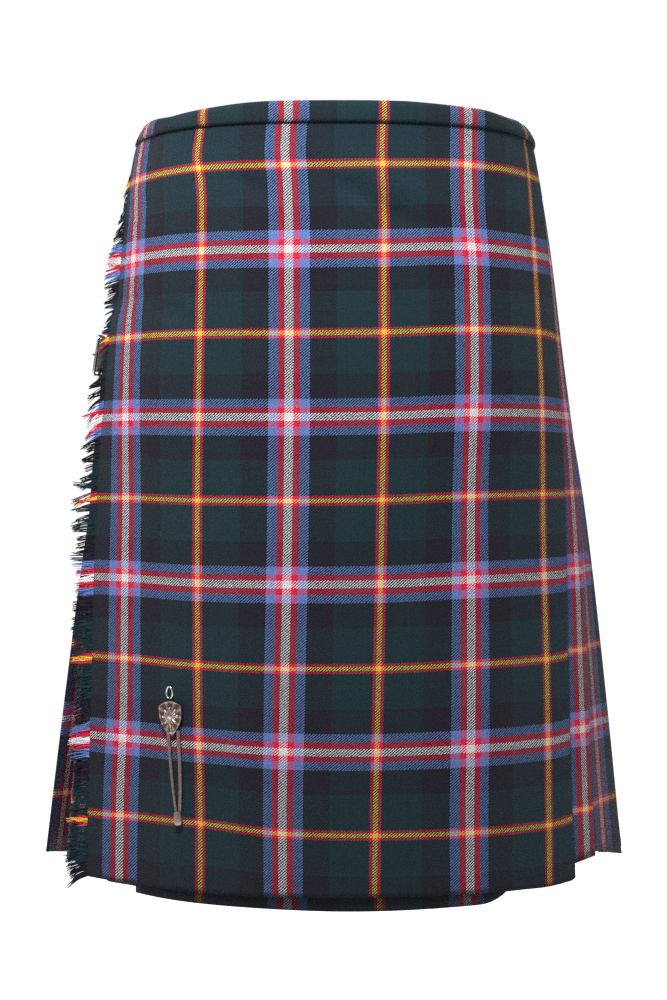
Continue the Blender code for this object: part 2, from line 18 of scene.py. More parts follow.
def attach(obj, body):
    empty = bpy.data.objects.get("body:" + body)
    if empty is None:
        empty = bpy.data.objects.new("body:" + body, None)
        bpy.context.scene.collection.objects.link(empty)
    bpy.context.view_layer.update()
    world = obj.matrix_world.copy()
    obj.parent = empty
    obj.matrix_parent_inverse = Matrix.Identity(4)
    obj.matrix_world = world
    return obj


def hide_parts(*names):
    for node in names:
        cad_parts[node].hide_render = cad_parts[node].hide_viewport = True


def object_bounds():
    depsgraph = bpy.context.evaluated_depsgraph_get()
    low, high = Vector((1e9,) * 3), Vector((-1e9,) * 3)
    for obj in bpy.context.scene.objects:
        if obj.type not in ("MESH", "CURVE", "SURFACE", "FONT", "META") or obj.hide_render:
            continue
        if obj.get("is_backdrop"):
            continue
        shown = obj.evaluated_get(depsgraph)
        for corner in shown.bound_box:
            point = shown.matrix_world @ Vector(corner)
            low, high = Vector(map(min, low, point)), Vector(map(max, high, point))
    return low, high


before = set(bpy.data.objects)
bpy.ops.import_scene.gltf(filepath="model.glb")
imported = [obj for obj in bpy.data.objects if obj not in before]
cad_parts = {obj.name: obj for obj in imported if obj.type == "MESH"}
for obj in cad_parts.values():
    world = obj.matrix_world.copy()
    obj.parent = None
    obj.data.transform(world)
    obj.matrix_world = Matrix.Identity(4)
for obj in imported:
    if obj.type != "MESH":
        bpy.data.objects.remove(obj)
CAD_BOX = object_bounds()

# --- sizes, most of them as in the solids ------------------------------------------------------

CLOTH = 0.0010  # thickness of the wool
LAYER = 0.0016  # from the middle of one layer to the middle of the next
SEAM = 0.0003
TOP = 0.009
LENGTH = 0.619
# How far the hems rise above an even one.
LEFT_HEM_RISE = 0.0015  # the over-apron's by the fringed edge
RIGHT_HEM_RISE = -0.0035  # the over-apron's by the fold
CORNER_HEM_RISE = 0.0030  # at the corner by the fold, on top of that
CORNER_WIDTH = 0.045
TIP_HEM_RISE = 0.0022  # in the fold itself
TIP_WIDTH = 0.006
PLEAT_HEM_RISE = 0.0058
LEFT_PLEAT_RISE = 0.0055  # the last pleats'
LEFT_PLEAT_SHARES = (0.80, 0.92)  # where that rise starts and is complete, as shares of the back
FIRST_PLEATS_RISE = 0.0105
FIRST_PLEATS_START = -0.020  # that rise's stretch, from the over-apron's fold
FIRST_PLEATS_END = 0.083
UNDER_LENGTH = 0.631
SEAM_LENGTH = 0.624
UNDER_SEAM_LENGTH = 0.6270
UNDER_SEAM_STEP = 0.0012  # how quickly the hem steps up from the under-apron to its seam
UNDER_SEAM_SLOPE = (0.209, 0.216)  # between these arcs it steps up as much again
UNDER_LEFT_RISE = 0.0042
BAND_HEIGHT = 0.0176
APRON_LEFT = 0.2165
APRON_RIGHT = 0.2062
EDGE_LIFT_WIDTH = 0.050
EDGE_KINK = 0.0050  # how sharply the fringed edge springs out below the hip strap
RAMP_POWER = 1.15  # how softly the layers start to climb
UNDER_RIGHT = 0.149
UNDER_LEFT = 0.1735
UNDER_TUCK = 0.035
UNDER_CORNER = 0.036
UNDER_CORNER_RISE = 0.014
UNDER_SWAY = 0.0012  # how far the under-apron waves in and out
SEAM_ARC = 0.012
FRINGE_REACH = 0.015
FRINGE_TOP = 0.040
FRINGE_BOTTOM = 0.618
FRINGE_FOOT = 0.588  # twice as many threads show from here down
PLEATS = 19
LAST_GAP = 0.065
STITCHED_HEIGHT = 0.007
FIRST_KICKS = (0.45, 0.70)
VALLEY = -2 * LAYER
UNDER = -4 * LAYER
FOLD_RADIUS = LAYER / 2

Level = namedtuple("Level", "depth half_width front back side_y squareness fold_height tuck edge_lift")
LEVELS = (
    Level(0.000, 0.1552, 0.1150, 0.1080, -0.004, 2.50, 0.0070, 0.0200, 0.0050),
    Level(0.020, 0.1626, 0.1160, 0.1120, 0.001, 2.41, 0.0070, 0.0205, 0.0060),
    Level(0.100, 0.1753, 0.1210, 0.1310, 0.004, 2.45, 0.0076, 0.0280, 0.0042),
    Level(0.200, 0.1868, 0.1260, 0.1520, 0.013, 2.48, 0.0090, 0.0400, 0.0076),
    Level(0.330, 0.2044, 0.1300, 0.1720, 0.025, 2.20, 0.0135, 0.0510, 0.0108),
    Level(0.470, 0.2176, 0.1330, 0.1900, 0.035, 2.17, 0.0185, 0.0520, 0.0100),
    Level(LENGTH, 0.2313, 0.1360, 0.2075, 0.046, 2.15, 0.0225, 0.0515, 0.0105),
)

# Straps and buckles
LEATHER = 0.0015
AIR = 0.0006
STRAP_WIDTH = 0.025
BAR_RADIUS = 0.0013
BUCKLE_LENGTH = 0.027
BUCKLE_HEIGHT = 0.034
BUCKLE_CORNER = 0.004
PRONG_RADIUS = 0.0009
HOLE_LENGTH = 0.008
HOLE_WIDTH = 0.003
STUB = 0.010
TAB_LENGTH = 0.046
KEEPER_AT = 0.026
KEEPER_WIDTH = 0.008
TIP_PAST_KEEPER = 0.020
ROUND_TIP = 0.010
STITCH_LINE = 0.0031  # from the strap's edge to its pressed line, where the stitches lie
STITCH_RADIUS = 0.00032
Strap = namedtuple("Strap", "name side depth root run root_rise lift")
STRAPS = (
    Strap("right_hip", -1, 0.190, -0.008, 0.062, -0.0010, 0.0098),
    Strap("right_waist", -1, 0.045, -0.008, 0.074, -0.0010, 0.0),
    Strap("left_waist", +1, 0.045, 0.034, 0.046, None, 0.0),
)

# Kilt pin
PIN_ARC = -0.1304
PIN_DEPTH = 0.5150
PIN_LEAN = math.radians(4.0)
PIN_OFF_CLOTH = 0.0004
SHIELD_WIDTH = 0.0212
SHIELD_TOP = 0.0450
SHIELD_BOTTOM = 0.0165
SHIELD_SHOULDER = 0.0036  # how far the top's corners drop below its middle
SHIELD_THICKNESS = 0.0026
SPINE_RADIUS = 0.0014
NEEDLE_RADIUS = 0.0009
CLASP_BOTTOM = -0.0528
CLASP_HEIGHT = 0.0110
CLASP_WIDTH = 0.0074
CLASP_THICKNESS = 0.0046
LOOP_RADIUS = 0.0046
LOOP_WIDTH = 0.0027
LOOP_WIRE = 0.0010

# --- the tartan --------------------------------------------------------------------------------

# Half of the repeat, from the middle of the white stripe to the middle of the yellow one. The widths
# are the warp's, in metres. The same order runs down the cloth, with each stripe a tenth narrower.
Stripe = namedtuple("Stripe", "colour width")
HALF_SETT = (
    Stripe("white", 0.00330),
    Stripe("red", 0.00510),
    Stripe("blue", 0.00730),
    Stripe("black", 0.02150),
    Stripe("green", 0.03100),
    Stripe("red", 0.00225),
    Stripe("yellow", 0.00225),
)
WARP_HALF = sum(stripe.width for stripe in HALF_SETT)
WEFT_HALF = 0.0655
WARP_THREAD = 0.00063
WEFT_THREAD = 0.00055
LIGHTER_PAINTED_SHADE = 0.25  # share of a thread's width by which the lighter one shows less: painted shade from the darker thread
APRON_WHITE = 0.0325  # from the fringed edge to the middle of the first white stripe
FIRST_YELLOW = 0.0492  # depth of the first yellow stripe across the apron
DYES = {
    "white": (0.86, 0.84, 0.86),
    "red": (0.80, 0.016, 0.065),
    "blue": (0.142, 0.235, 0.560),
    "black": (0.0125, 0.0108, 0.0195),
    "green": (0.0105, 0.0300, 0.0390),
    "yellow": (0.87, 0.65, 0.060),
}


# --- the kilt's plan ---------------------------------------------------------------------------


class Curves:
    """Smooth curves through the columns of a table whose first column is where each row lies."""

    def __init__(self, rows):
        table = np.array(rows, float)
        self.at, self.values = table[:, 0], table[:, 1:]
        steps = np.diff(self.at)[:, None]
        slopes = np.diff(self.values, axis=0) / steps
        product, total = slopes[:-1] * slopes[1:], slopes[:-1] + slopes[1:]
        middle = np.where(product > 0.0, 2.0 * product / np.where(total == 0.0, 1.0, total), 0.0)
        self.slopes = np.vstack([slopes[:1], middle, slopes[-1:]])

    def __call__(self, place):
        place = np.clip(place, self.at[0], self.at[-1])
        row = np.clip(np.searchsorted(self.at, place, side="right") - 1, 0, len(self.at) - 2)
        step = self.at[row + 1] - self.at[row]
        t = np.expand_dims((place - self.at[row]) / step, -1)
        step = np.expand_dims(step, -1)
        first, last = self.values[row], self.values[row + 1]
        return (
            first * (1 + 2 * t) * (1 - t) ** 2
            + last * t**2 * (3 - 2 * t)
            + step * self.slopes[row] * t * (1 - t) ** 2
            + step * self.slopes[row + 1] * t**2 * (t - 1)
        )


LEVEL_CURVES = Curves(LEVELS)


def level_at(depth):
    return Level(depth, *LEVEL_CURVES(depth))


def running(steps):
    """How far along each point is, when these are the steps between them."""
    return np.concatenate([[0.0], np.cumsum(steps)])


def smooth_step(low, high, value):
    share = np.clip((value - low) / (high - low), 0.0, 1.0)
    return share * share * (3.0 - 2.0 * share)


def arch(arc, start, end):
    """0 at both ends of a stretch and 1 at its middle."""
    return np.sin(math.pi * np.clip((arc - start) / (end - start), 0.0, 1.0))


class Ring:
    """The plan at one depth: points round the kilt, directions out of them, and arcs along them."""

    STEPS = 1440

    def __init__(self, depth):
        level = level_at(depth)
        turn = np.linspace(0.0, 2.0 * math.pi, self.STEPS + 1)
        across, along = np.sin(turn), -np.cos(turn)
        power = 2.0 / level.squareness
        reach = np.where(along < 0.0, level.front + level.side_y, level.back - level.side_y)
        self.x = level.half_width * np.sign(across) * np.abs(across) ** power
        self.y = level.side_y + reach * np.sign(along) * np.abs(along) ** power
        self.arcs = running(np.hypot(np.diff(self.x), np.diff(self.y)))
        self.girth, self.depth = self.arcs[-1], depth

    def flat(self, arc):
        arc = np.mod(arc, self.girth)
        return np.stack([np.interp(arc, self.arcs, self.x), np.interp(arc, self.arcs, self.y)], -1)

    def outward(self, arc):
        reach = 0.003
        along = self.flat(np.add(arc, reach)) - self.flat(np.subtract(arc, reach))
        out = np.stack([along[..., 1], -along[..., 0]], -1)
        return out / np.linalg.norm(out, axis=-1, keepdims=True)

    def place(self, arc, rise, depth=None):
        """Points at these arcs and rises. Their own depths may differ a little from the ring's."""
        arc, rise = np.asarray(arc, float), np.asarray(rise, float)
        level = self.flat(arc) + rise[..., None] * self.outward(arc)
        height = TOP - np.broadcast_to(self.depth if depth is None else depth, arc.shape)
        return np.concatenate([level, height[..., None]], -1)

    def arc_facing(self, other, arc):
        """The arc that lies straight out from, or in from, an arc of another ring."""
        start, out = other.flat(arc), other.outward(arc)
        aside = (self.x - start[0]) * out[1] - (self.y - start[1]) * out[0]
        ahead = self.x * out[0] + self.y * out[1] > 0.0
        crossing = np.flatnonzero(ahead[:-1] & (aside[:-1] * aside[1:] <= 0.0))[0]
        share = aside[crossing] / (aside[crossing] - aside[crossing + 1])
        return self.arcs[crossing] + share * (self.arcs[crossing + 1] - self.arcs[crossing])


RINGS = {}


def ring_at(depth):
    key = round(float(depth), 6)
    if key not in RINGS:
        RINGS[key] = Ring(key)
    return RINGS[key]


# --- meshes ------------------------------------------------------------------------------------


def numbered(rows, columns):
    """The numbers of a grid's points."""
    return np.arange(rows * columns).reshape(rows, columns)


def quads_of(index, turned=False):
    """The faces between neighbouring rows and columns of a grid of point numbers."""
    corners = [index[:-1, :-1], index[1:, :-1], index[1:, 1:], index[:-1, 1:]]
    if turned:
        corners = corners[:1] + corners[:0:-1]
    return np.stack(corners, -1).reshape(-1, 4)


def grid_object(name, points, uv, material, thickness=CLOTH):
    """A sheet through rows and columns of points. uv gives each point's place on the flat cloth."""
    quads = quads_of(numbered(*points.shape[:2]))
    mesh = mesh_of(name, points.reshape(-1, 3), quads, uv.reshape(-1, 2))
    item = add_piece(name, mesh, material)
    solid = item.modifiers.new("thickness", "SOLIDIFY")
    solid.thickness = thickness
    solid.offset = 0.0
    solid.use_even_offset = True
    solid.use_quality_normals = True
    return item


def mesh_of(name, points, faces, uv=None):
    mesh = bpy.data.meshes.new(name)
    mesh.from_pydata(points.tolist(), [], faces.tolist())
    if uv is not None:
        layer = mesh.uv_layers.new(name="cloth")
        layer.uv.foreach_set("vector", uv[np.asarray(faces).reshape(-1)].astype(np.float32).reshape(-1))
    mesh.shade_smooth()
    return mesh


def make_outward(mesh):
    shape = bmesh.new()
    shape.from_mesh(mesh)
    bmesh.ops.recalc_face_normals(shape, faces=shape.faces[:])
    shape.to_mesh(mesh)
    shape.free()


def add_object(name, data):
    item = bpy.data.objects.new(name, data)
    bpy.context.scene.collection.objects.link(item)
    return item


def add_piece(name, data, material):
    item = add_object(name, data)
    data.materials.append(material)
    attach(item, "root")
    return item


def smooth_path(points, spacing):
    """Points close together on a smooth curve through these ones."""
    points = np.asarray(points, float)
    lengths = running(np.linalg.norm(np.diff(points, axis=0), axis=1))
    curve = Curves(np.column_stack([lengths, points]))
    count = max(3, int(round(lengths[-1] / spacing)) + 1)
    return curve(np.linspace(0.0, lengths[-1], count))


def sweep(points, outline, closed=False, up=None):
    """A grid of points: an outline carried along a path. outline is (n, 2), or one for each point."""
    points = np.asarray(points, float)
    count = len(points)
    outline = np.asarray(outline, float)
    if outline.ndim == 2:
        outline = np.broadcast_to(outline, (count, *outline.shape))
    ahead = np.roll(points, -1, 0) - np.roll(points, 1, 0)
    if not closed:
        ahead[0], ahead[-1] = points[1] - points[0], points[-1] - points[-2]
    ahead /= np.linalg.norm(ahead, axis=1, keepdims=True)
    side = np.array(up if up is not None else (0.3, 0.2, 1.0), float)
    grid = np.empty((count, outline.shape[1], 3))
    for i, (point, along) in enumerate(zip(points, ahead)):
        side = side - side.dot(along) * along
        side /= np.linalg.norm(side)
        other = np.cross(along, side)
        grid[i] = point + outline[i, :, :1] * side + outline[i, :, 1:] * other
    return grid


def tube_quads(rows, around, closed=False):
    """The faces round a tube. closed: its last ring meets its first."""
    index = numbered(rows, around)
    if closed:
        index = np.vstack([index, index[:1]])
    return quads_of(np.hstack([index, index[:, :1]]), turned=True)


def tube_mesh(name, grid, closed=False):
    """A tube through rings of points, with a face at each end unless it is closed on itself."""
    rows, around = grid.shape[:2]
    faces = tube_quads(rows, around, closed).tolist()
    if not closed:
        index = numbered(rows, around)
        faces += [index[0, ::-1].tolist(), index[-1].tolist()]
    mesh = bpy.data.meshes.new(name)
    mesh.from_pydata(grid.reshape(-1, 3).tolist(), [], faces)
    return mesh


def swept_object(name, points, outline, material, closed=False, up=None):
    mesh = tube_mesh(name, sweep(points, outline, closed, up), closed)
    mesh.shade_smooth()
    mesh.set_sharp_from_angle(angle=math.radians(50))
    make_outward(mesh)
    return add_piece(name, mesh, material)


def circle(radius, count=12, squash=1.0):
    turn = np.linspace(0.0, 2.0 * math.pi, count, endpoint=False)
    return np.stack([radius * np.cos(turn), radius * squash * np.sin(turn)], -1)


# --- materials ---------------------------------------------------------------------------------


class Nodes:
    """Short calls for building a material's nodes."""

    def __init__(self, name):
        self.material = bpy.data.materials.new(name)
        self.material.use_nodes = True
        self.tree = self.material.node_tree
        self.shader = self.tree.nodes["Principled BSDF"]

    def add(self, kind, **settings):
        node = self.tree.nodes.new(kind)
        for key, value in settings.items():
            setattr(node, key, value)
        return node

    def put(self, value, socket):
        if isinstance(value, bpy.types.NodeSocket):
            self.tree.links.new(value, socket)
        else:
            socket.default_value = value

    def place(self):
        return self.add("ShaderNodeTexCoord").outputs["Object"]

    def math(self, operation, a, b=0.0):
        node = self.add("ShaderNodeMath", operation=operation)
        for value, socket in zip((a, b), node.inputs):
            self.put(value, socket)
        return node.outputs[0]

    def mix(self, share, a, b, blend="MIX"):
        node = self.add("ShaderNodeMix", data_type="RGBA", blend_type=blend)
        self.put(share, node.inputs["Factor"])
        self.put(a, node.inputs[6])
        self.put(b, node.inputs[7])
        return node.outputs[2]

    def ramp(self, value, stops, interpolation="LINEAR"):
        node = self.add("ShaderNodeValToRGB")
        elements = node.color_ramp.elements
        node.color_ramp.interpolation = interpolation
        elements[0].position, elements[1].position = stops[0][0], stops[-1][0]
        for place, _ in stops[1:-1]:
            elements.new(place)
        for element, (_, colour) in zip(elements, stops):
            element.color = (*colour, 1.0)
        self.put(value, node.inputs[0])
        return node.outputs["Color"]

    def greys(self, value, *stops):
        """A ramp of (place, grey) stops."""
        return self.ramp(value, [(place, (grey,) * 3) for place, grey in stops])

    def noise(self, scale, vector, detail=2.0, roughness=0.5):
        node = self.add("ShaderNodeTexNoise")
        node.inputs["Scale"].default_value = scale
        node.inputs["Detail"].default_value = detail
        node.inputs["Roughness"].default_value = roughness
        self.put(vector, node.inputs["Vector"])
        return node.outputs["Fac"]

    def white_noise(self, value):
        node = self.add("ShaderNodeTexWhiteNoise", noise_dimensions="1D")
        self.put(value, node.inputs["W"])
        return node.outputs["Value"]

    def bump(self, height, distance):
        node = self.add("ShaderNodeBump")
        node.inputs["Strength"].default_value = 1.0
        node.inputs["Distance"].default_value = distance
        self.put(height, node.inputs["Height"])
        self.put(node.outputs["Normal"], self.shader.inputs["Normal"])

    def set(self, **values):
        for name, value in values.items():
            self.put(value, self.shader.inputs[name.replace("_", " ")])


def stripe_stops():
    """Where each stripe of the half repeat starts, as a share of it, and its dye."""
    stops, start = [], 0.0
    for stripe in HALF_SETT:
        stops.append((start / WARP_HALF, DYES[stripe.colour]))
        start += stripe.width
    return stops


def thread_colour(nodes, place, thread, middle, half):
    """The dye of the thread that lies at this place, and a number that is that thread's own."""
    number = nodes.math("FLOOR", nodes.math("DIVIDE", place, thread))
    centre = nodes.math("MULTIPLY", nodes.math("ADD", number, 0.5), thread)
    from_middle = nodes.math("ADD", centre, -middle)
    share = nodes.math("DIVIDE", nodes.math("PINGPONG", from_middle, half), half)
    return nodes.ramp(share, stripe_stops(), "CONSTANT"), number


def cloth_place(nodes):
    """The place on the flat cloth, in metres: across, down, and both as a vector."""
    uv = nodes.add("ShaderNodeUVMap", uv_map="cloth").outputs[0]
    parts = nodes.add("ShaderNodeSeparateXYZ")
    nodes.put(uv, parts.inputs[0])
    return parts.outputs[0], parts.outputs[1], uv


def wool_finish(nodes, colour, height, distance):
    nodes.set(Base_Color=colour, Roughness=0.62, Sheen_Weight=0.03, Sheen_Roughness=0.45)
    nodes.shader.inputs["Specular IOR Level"].default_value = 0.12
    nodes.bump(height, distance)


def make_tartan():
    """2/2 twill: a warp thread and a weft thread take turns on top, two threads at a time.

    The lighter of the two shows a little less than half, as the darker one's shade falls on it.
    """
    nodes = Nodes("tartan_wool")
    across, down, uv = cloth_place(nodes)
    warp, warp_number = thread_colour(nodes, across, WARP_THREAD, APRON_WHITE, WARP_HALF)
    weft, weft_number = thread_colour(nodes, down, WEFT_THREAD, FIRST_YELLOW + WEFT_HALF, WEFT_HALF)
    # Painted shade: where the darker thread's shade falls, the lighter thread is drawn narrower.
    lighter = nodes.math("MULTIPLY", nodes.math("SUBTRACT", grey(nodes, warp), grey(nodes, weft)), 5.0)
    lighter = nodes.math("MINIMUM", nodes.math("MAXIMUM", lighter, -1.0), 1.0)
    step = nodes.math("ADD", warp_number, nodes.math("DIVIDE", down, WEFT_THREAD))
    from_warp = nodes.math("ABSOLUTE", nodes.math("ADD", nodes.math("FLOORED_MODULO", step, 4.0), -2.0))
    half_shown = nodes.math("ADD", nodes.math("MULTIPLY", lighter, -LIGHTER_PAINTED_SHADE), 1.0)
    warp_up = nodes.math("LESS_THAN", from_warp, half_shown)
    colour = nodes.mix(warp_up, weft, warp)
    # Each thread is dyed and spun a little unevenly.
    own = nodes.mix(warp_up, number_tint(nodes, weft_number, 17.0), number_tint(nodes, warp_number, 3.0))
    colour = nodes.mix(1.0, colour, own, "MULTIPLY")
    fuzz = nodes.noise(1900.0, uv, 2.0)
    colour = nodes.mix(1.0, colour, nodes.greys(fuzz, (0.25, 0.82), (0.75, 1.18)), "MULTIPLY")
    # The thread's round back, along the one that is on top.
    turns = [nodes.math("DIVIDE", across, WARP_THREAD), nodes.math("DIVIDE", down, WEFT_THREAD)]
    waves = [nodes.math("SINE", nodes.math("MULTIPLY", turn, math.pi)) for turn in turns]
    warp_back, weft_back = (nodes.math("ABSOLUTE", wave) for wave in waves)
    back = nodes.mix(warp_up, weft_back, warp_back)
    height = nodes.math("ADD", back, nodes.math("MULTIPLY", fuzz, 0.8))
    wool_finish(nodes, colour, height, 0.00016)
    return nodes.material


def grey(nodes, colour):
    node = nodes.add("ShaderNodeRGBToBW")
    nodes.put(colour, node.inputs[0])
    return node.outputs[0]


def number_tint(nodes, number, seed):
    value = nodes.white_noise(nodes.math("ADD", number, seed))
    return nodes.greys(value, (0.0, 0.86), (1.0, 1.10))


def make_fringe_wool():
    """Loose weft threads: each keeps the dye of its place down the cloth, and has a shade of its own."""
    nodes = Nodes("fringe_wool")
    own, down, _ = cloth_place(nodes)
    weft, _ = thread_colour(nodes, down, WEFT_THREAD, FIRST_YELLOW + WEFT_HALF, WEFT_HALF)
    colour = nodes.mix(1.0, weft, nodes.greys(own, (0.0, 0.75), (1.0, 1.25)), "MULTIPLY")
    wool_finish(nodes, colour, nodes.noise(2600.0, nodes.place(), 2.0), 0.0001)
    return nodes.material


def make_leather():
    nodes = Nodes("black_leather")
    place = nodes.place()
    cells = nodes.add("ShaderNodeTexVoronoi", feature="DISTANCE_TO_EDGE")
    cells.inputs["Scale"].default_value = 1100.0
    nodes.put(place, cells.inputs["Vector"])
    grain = nodes.math("MINIMUM", nodes.math("MULTIPLY", cells.outputs["Distance"], 4.0), 1.0)
    wear = nodes.noise(160.0, place, 4.0)
    height = nodes.math("ADD", grain, nodes.math("MULTIPLY", wear, 1.5))
    colour = nodes.ramp(wear, ((0.30, (0.008, 0.008, 0.009)), (0.75, (0.022, 0.021, 0.021))))
    nodes.set(Base_Color=colour, Roughness=nodes.greys(wear, (0.30, 0.34), (0.75, 0.52)))
    nodes.bump(height, 0.00012)
    return nodes.material


def make_chrome():
    nodes = Nodes("chrome")
    place = nodes.place()
    patches = nodes.noise(420.0, place, 5.0, 0.65)
    fine = nodes.noise(2500.0, place, 3.0)
    colour = nodes.ramp(patches, ((0.35, (0.50, 0.50, 0.51)), (0.62, (0.62, 0.62, 0.63))))
    shine = nodes.greys(patches, (0.35, 0.24), (0.65, 0.12))
    nodes.set(Base_Color=colour, Roughness=shine, Metallic=1.0)
    nodes.bump(fine, 0.00001)
    return nodes.material


def make_pewter():
    """Old pewter: dark in the hollows of the relief, rubbed bright on what stands up."""
    nodes = Nodes("antique_pewter")
    place = nodes.place()
    patches = nodes.noise(900.0, place, 4.0, 0.65)
    stands = nodes.add("ShaderNodeAttribute", attribute_name="relief").outputs["Fac"]
    rubbed = nodes.math("ADD", nodes.math("MULTIPLY", patches, 0.55), nodes.math("MULTIPLY", stands, 0.75))
    colour = nodes.ramp(
        rubbed, ((0.20, (0.050, 0.032, 0.030)), (0.50, (0.230, 0.160, 0.145)), (0.85, (0.620, 0.520, 0.480)))
    )
    nodes.set(Base_Color=colour, Roughness=nodes.greys(rubbed, (0.20, 0.50), (0.85, 0.28)), Metallic=1.0)
    nodes.bump(patches, 0.00005)
    return nodes.material


def make_thread():
    nodes = Nodes("stitching_thread")
    place = nodes.place()
    twist = nodes.noise(3000.0, place, 1.0)
    nodes.set(Base_Color=nodes.greys(twist, (0.3, 0.012), (0.7, 0.035)), Roughness=0.6)
    nodes.bump(twist, 0.0001)
    return nodes.material


TARTAN = make_tartan()
FRINGE_WOOL = make_fringe_wool()
LEATHER_BLACK = make_leather()
CHROME = make_chrome()
PEWTER = make_pewter()
THREAD = make_thread()


# --- cloth -------------------------------------------------------------------------------------

# A soft ridge or trough in the cloth, from one end to the other.
Crease = namedtuple("Crease", "arc_a depth_a arc_b depth_b half_width height")
APRON_CREASES = (
    Crease(0.000, 0.060, 0.027, 0.079, 0.0070, -0.0036),
    Crease(0.027, 0.079, 0.066, 0.100, 0.0080, -0.0036),
    Crease(0.012, 0.048, 0.074, 0.080, 0.0110, 0.0022),
    Crease(-0.082, 0.058, -0.052, 0.074, 0.0065, -0.0026),
    Crease(-0.122, 0.040, -0.095, 0.110, 0.0120, 0.0012),
    Crease(0.120, 0.045, 0.150, 0.120, 0.0120, -0.0018),
    Crease(0.150, 0.170, 0.165, 0.330, 0.0160, 0.0018),
    Crease(-0.165, 0.150, -0.120, 0.172, 0.0080, -0.0024),
    Crease(-0.060, 0.330, -0.070, 0.600, 0.0300, 0.0020),
    Crease(0.050, 0.300, 0.060, 0.610, 0.0340, -0.0022),
    Crease(0.130, 0.380, 0.145, 0.610, 0.0260, 0.0022),
    Crease(-0.150, 0.420, -0.165, 0.610, 0.0220, -0.0020),
)


def crease_height(creases, arc, depth):
    total = np.zeros(np.broadcast(arc, depth).shape)
    for crease in creases:
        run = np.array([crease.arc_b - crease.arc_a, crease.depth_b - crease.depth_a])
        length = np.hypot(*run)
        along = ((arc - crease.arc_a) * run[0] + (depth - crease.depth_a) * run[1]) / length**2
        near = np.clip(along, 0.0, 1.0)
        off = np.hypot(arc - crease.arc_a - near * run[0], depth - crease.depth_a - near * run[1])
        ends = 0.35 + 0.65 * np.sin(math.pi * near)
        total += crease.height * ends * np.exp(-((off / crease.half_width) ** 2))
    return total


# How far the top edge droops at each arc from the middle of the front.
TOP_DROOP = Curves(
    (
        (-0.250, 0.0020),
        (-0.200, 0.0022),
        (-0.170, 0.0032),
        (-0.155, 0.0046),
        (-0.143, 0.0055),
        (-0.128, 0.0048),
        (-0.100, 0.0032),
        (-0.075, 0.0016),
        (-0.050, 0.0008),
        (0.050, 0.0008),
        (0.075, 0.0016),
        (0.100, 0.0024),
        (0.120, 0.0027),
        (0.138, 0.0040),
        (0.150, 0.0048),
        (0.170, 0.0040),
        (0.200, 0.0025),
        (0.250, 0.0020),
    )
)


def top_drop(arc, depth):
    """How far points drop with the top edge. It fades out under the band."""
    half = ring_at(depth).girth / 2
    place = np.mod(np.add(arc, half), 2 * half) - half
    return TOP_DROOP(place)[..., 0] * (1.0 - smooth_step(0.0, 0.9 * BAND_HEIGHT, depth))


def cloth_grid(section, hem, rows, first=0.0012):
    """Rows of points down the cloth.

    At a depth, section gives each point's arc, its rise, its place across the flat cloth, how far the weft
    stripes there lie from their even place, and how far the point itself drops.
    """
    points, uv = [], []
    for share in np.linspace(first / LENGTH, 1.0, rows):
        depth = share * LENGTH
        arc, rise, across, weft_shift, drop = section(depth)
        down = share * hem(arc)
        points.append(ring_at(depth).place(arc, rise, down + drop + top_drop(arc, depth)))
        uv.append(np.stack([across, down + weft_shift], -1))
    return np.array(points), np.array(uv)


def back_stretch(depth):
    return ring_at(depth).girth - APRON_LEFT - APRON_RIGHT


def reveal(depth):
    return back_stretch(depth) * (1.0 - LAST_GAP) / PLEATS


def fold_height(depth, pleat):
    swing = level_at(depth).fold_height - STITCHED_HEIGHT
    share = FIRST_KICKS[pleat] if pleat < len(FIRST_KICKS) else 1.0
    return STITCHED_HEIGHT + swing * share


def apron_fold_rise(depth):
    tuck = level_at(depth).tuck
    return fold_height(depth, 0) * tuck / (reveal(depth) + tuck)


def ramp(share):
    """How the layers climb onto the first pleat."""
    return np.clip(share, 0.0, 1.0) ** RAMP_POWER


def edge_lift(arc, depth):
    near = np.clip(1.0 - (arc + APRON_LEFT) / EDGE_LIFT_WIDTH, 0.0, 1.0)
    kink = EDGE_KINK * (float(smooth_step(0.148, 0.172, depth)) - float(smooth_step(0.09, 0.25, depth)))
    return (level_at(depth).edge_lift + kink) * near**RAMP_POWER


# How far the over-apron's stripes stray from straight lines, in metres. One row for each depth, with a value
# at the fringed edge, at the white, yellow, white, yellow, white and yellow stripes, and at the fold.
# DRIFT is towards +X, and SAG is down.
DRIFT = Curves(
    (
        (0.0176, -0.0042, -0.0042, 0.0011, -0.0004, 0.0026, 0.0002, 0.0004, 0.0004),
        (0.040, -0.0048, -0.0048, -0.0015, -0.0015, 0.0017, -0.0002, 0.0010, 0.0010),
        (0.060, -0.0040, -0.0040, 0.0022, 0.0003, 0.0021, -0.0005, -0.0002, -0.0002),
        (0.080, -0.0008, -0.0008, 0.0041, 0.0012, 0.0034, -0.0003, -0.0008, -0.0008),
        (0.100, -0.0004, -0.0004, 0.0040, 0.0018, 0.0035, 0.0008, -0.0010, -0.0010),
        (0.130, 0.0001, 0.0001, 0.0034, 0.0018, 0.0031, 0.0029, -0.0008, -0.0008),
        (0.200, -0.0008, -0.0008, 0.0024, 0.0021, 0.0032, 0.0037, -0.0002, -0.0002),
        (0.330, 0.0022, 0.0022, 0.0002, 0.0012, 0.0013, 0.0008, -0.0015, -0.0015),
        (0.470, 0.0027, 0.0027, 0.0013, -0.0015, -0.0017, 0.0005, -0.0003, -0.0003),
        (0.560, 0.0003, 0.0003, 0.0037, -0.0030, -0.0038, -0.0009, -0.0004, -0.0004),
        (LENGTH, 0.0008, 0.0008, 0.0038, -0.0027, -0.0044, -0.0006, -0.0006, -0.0006),
    )
)
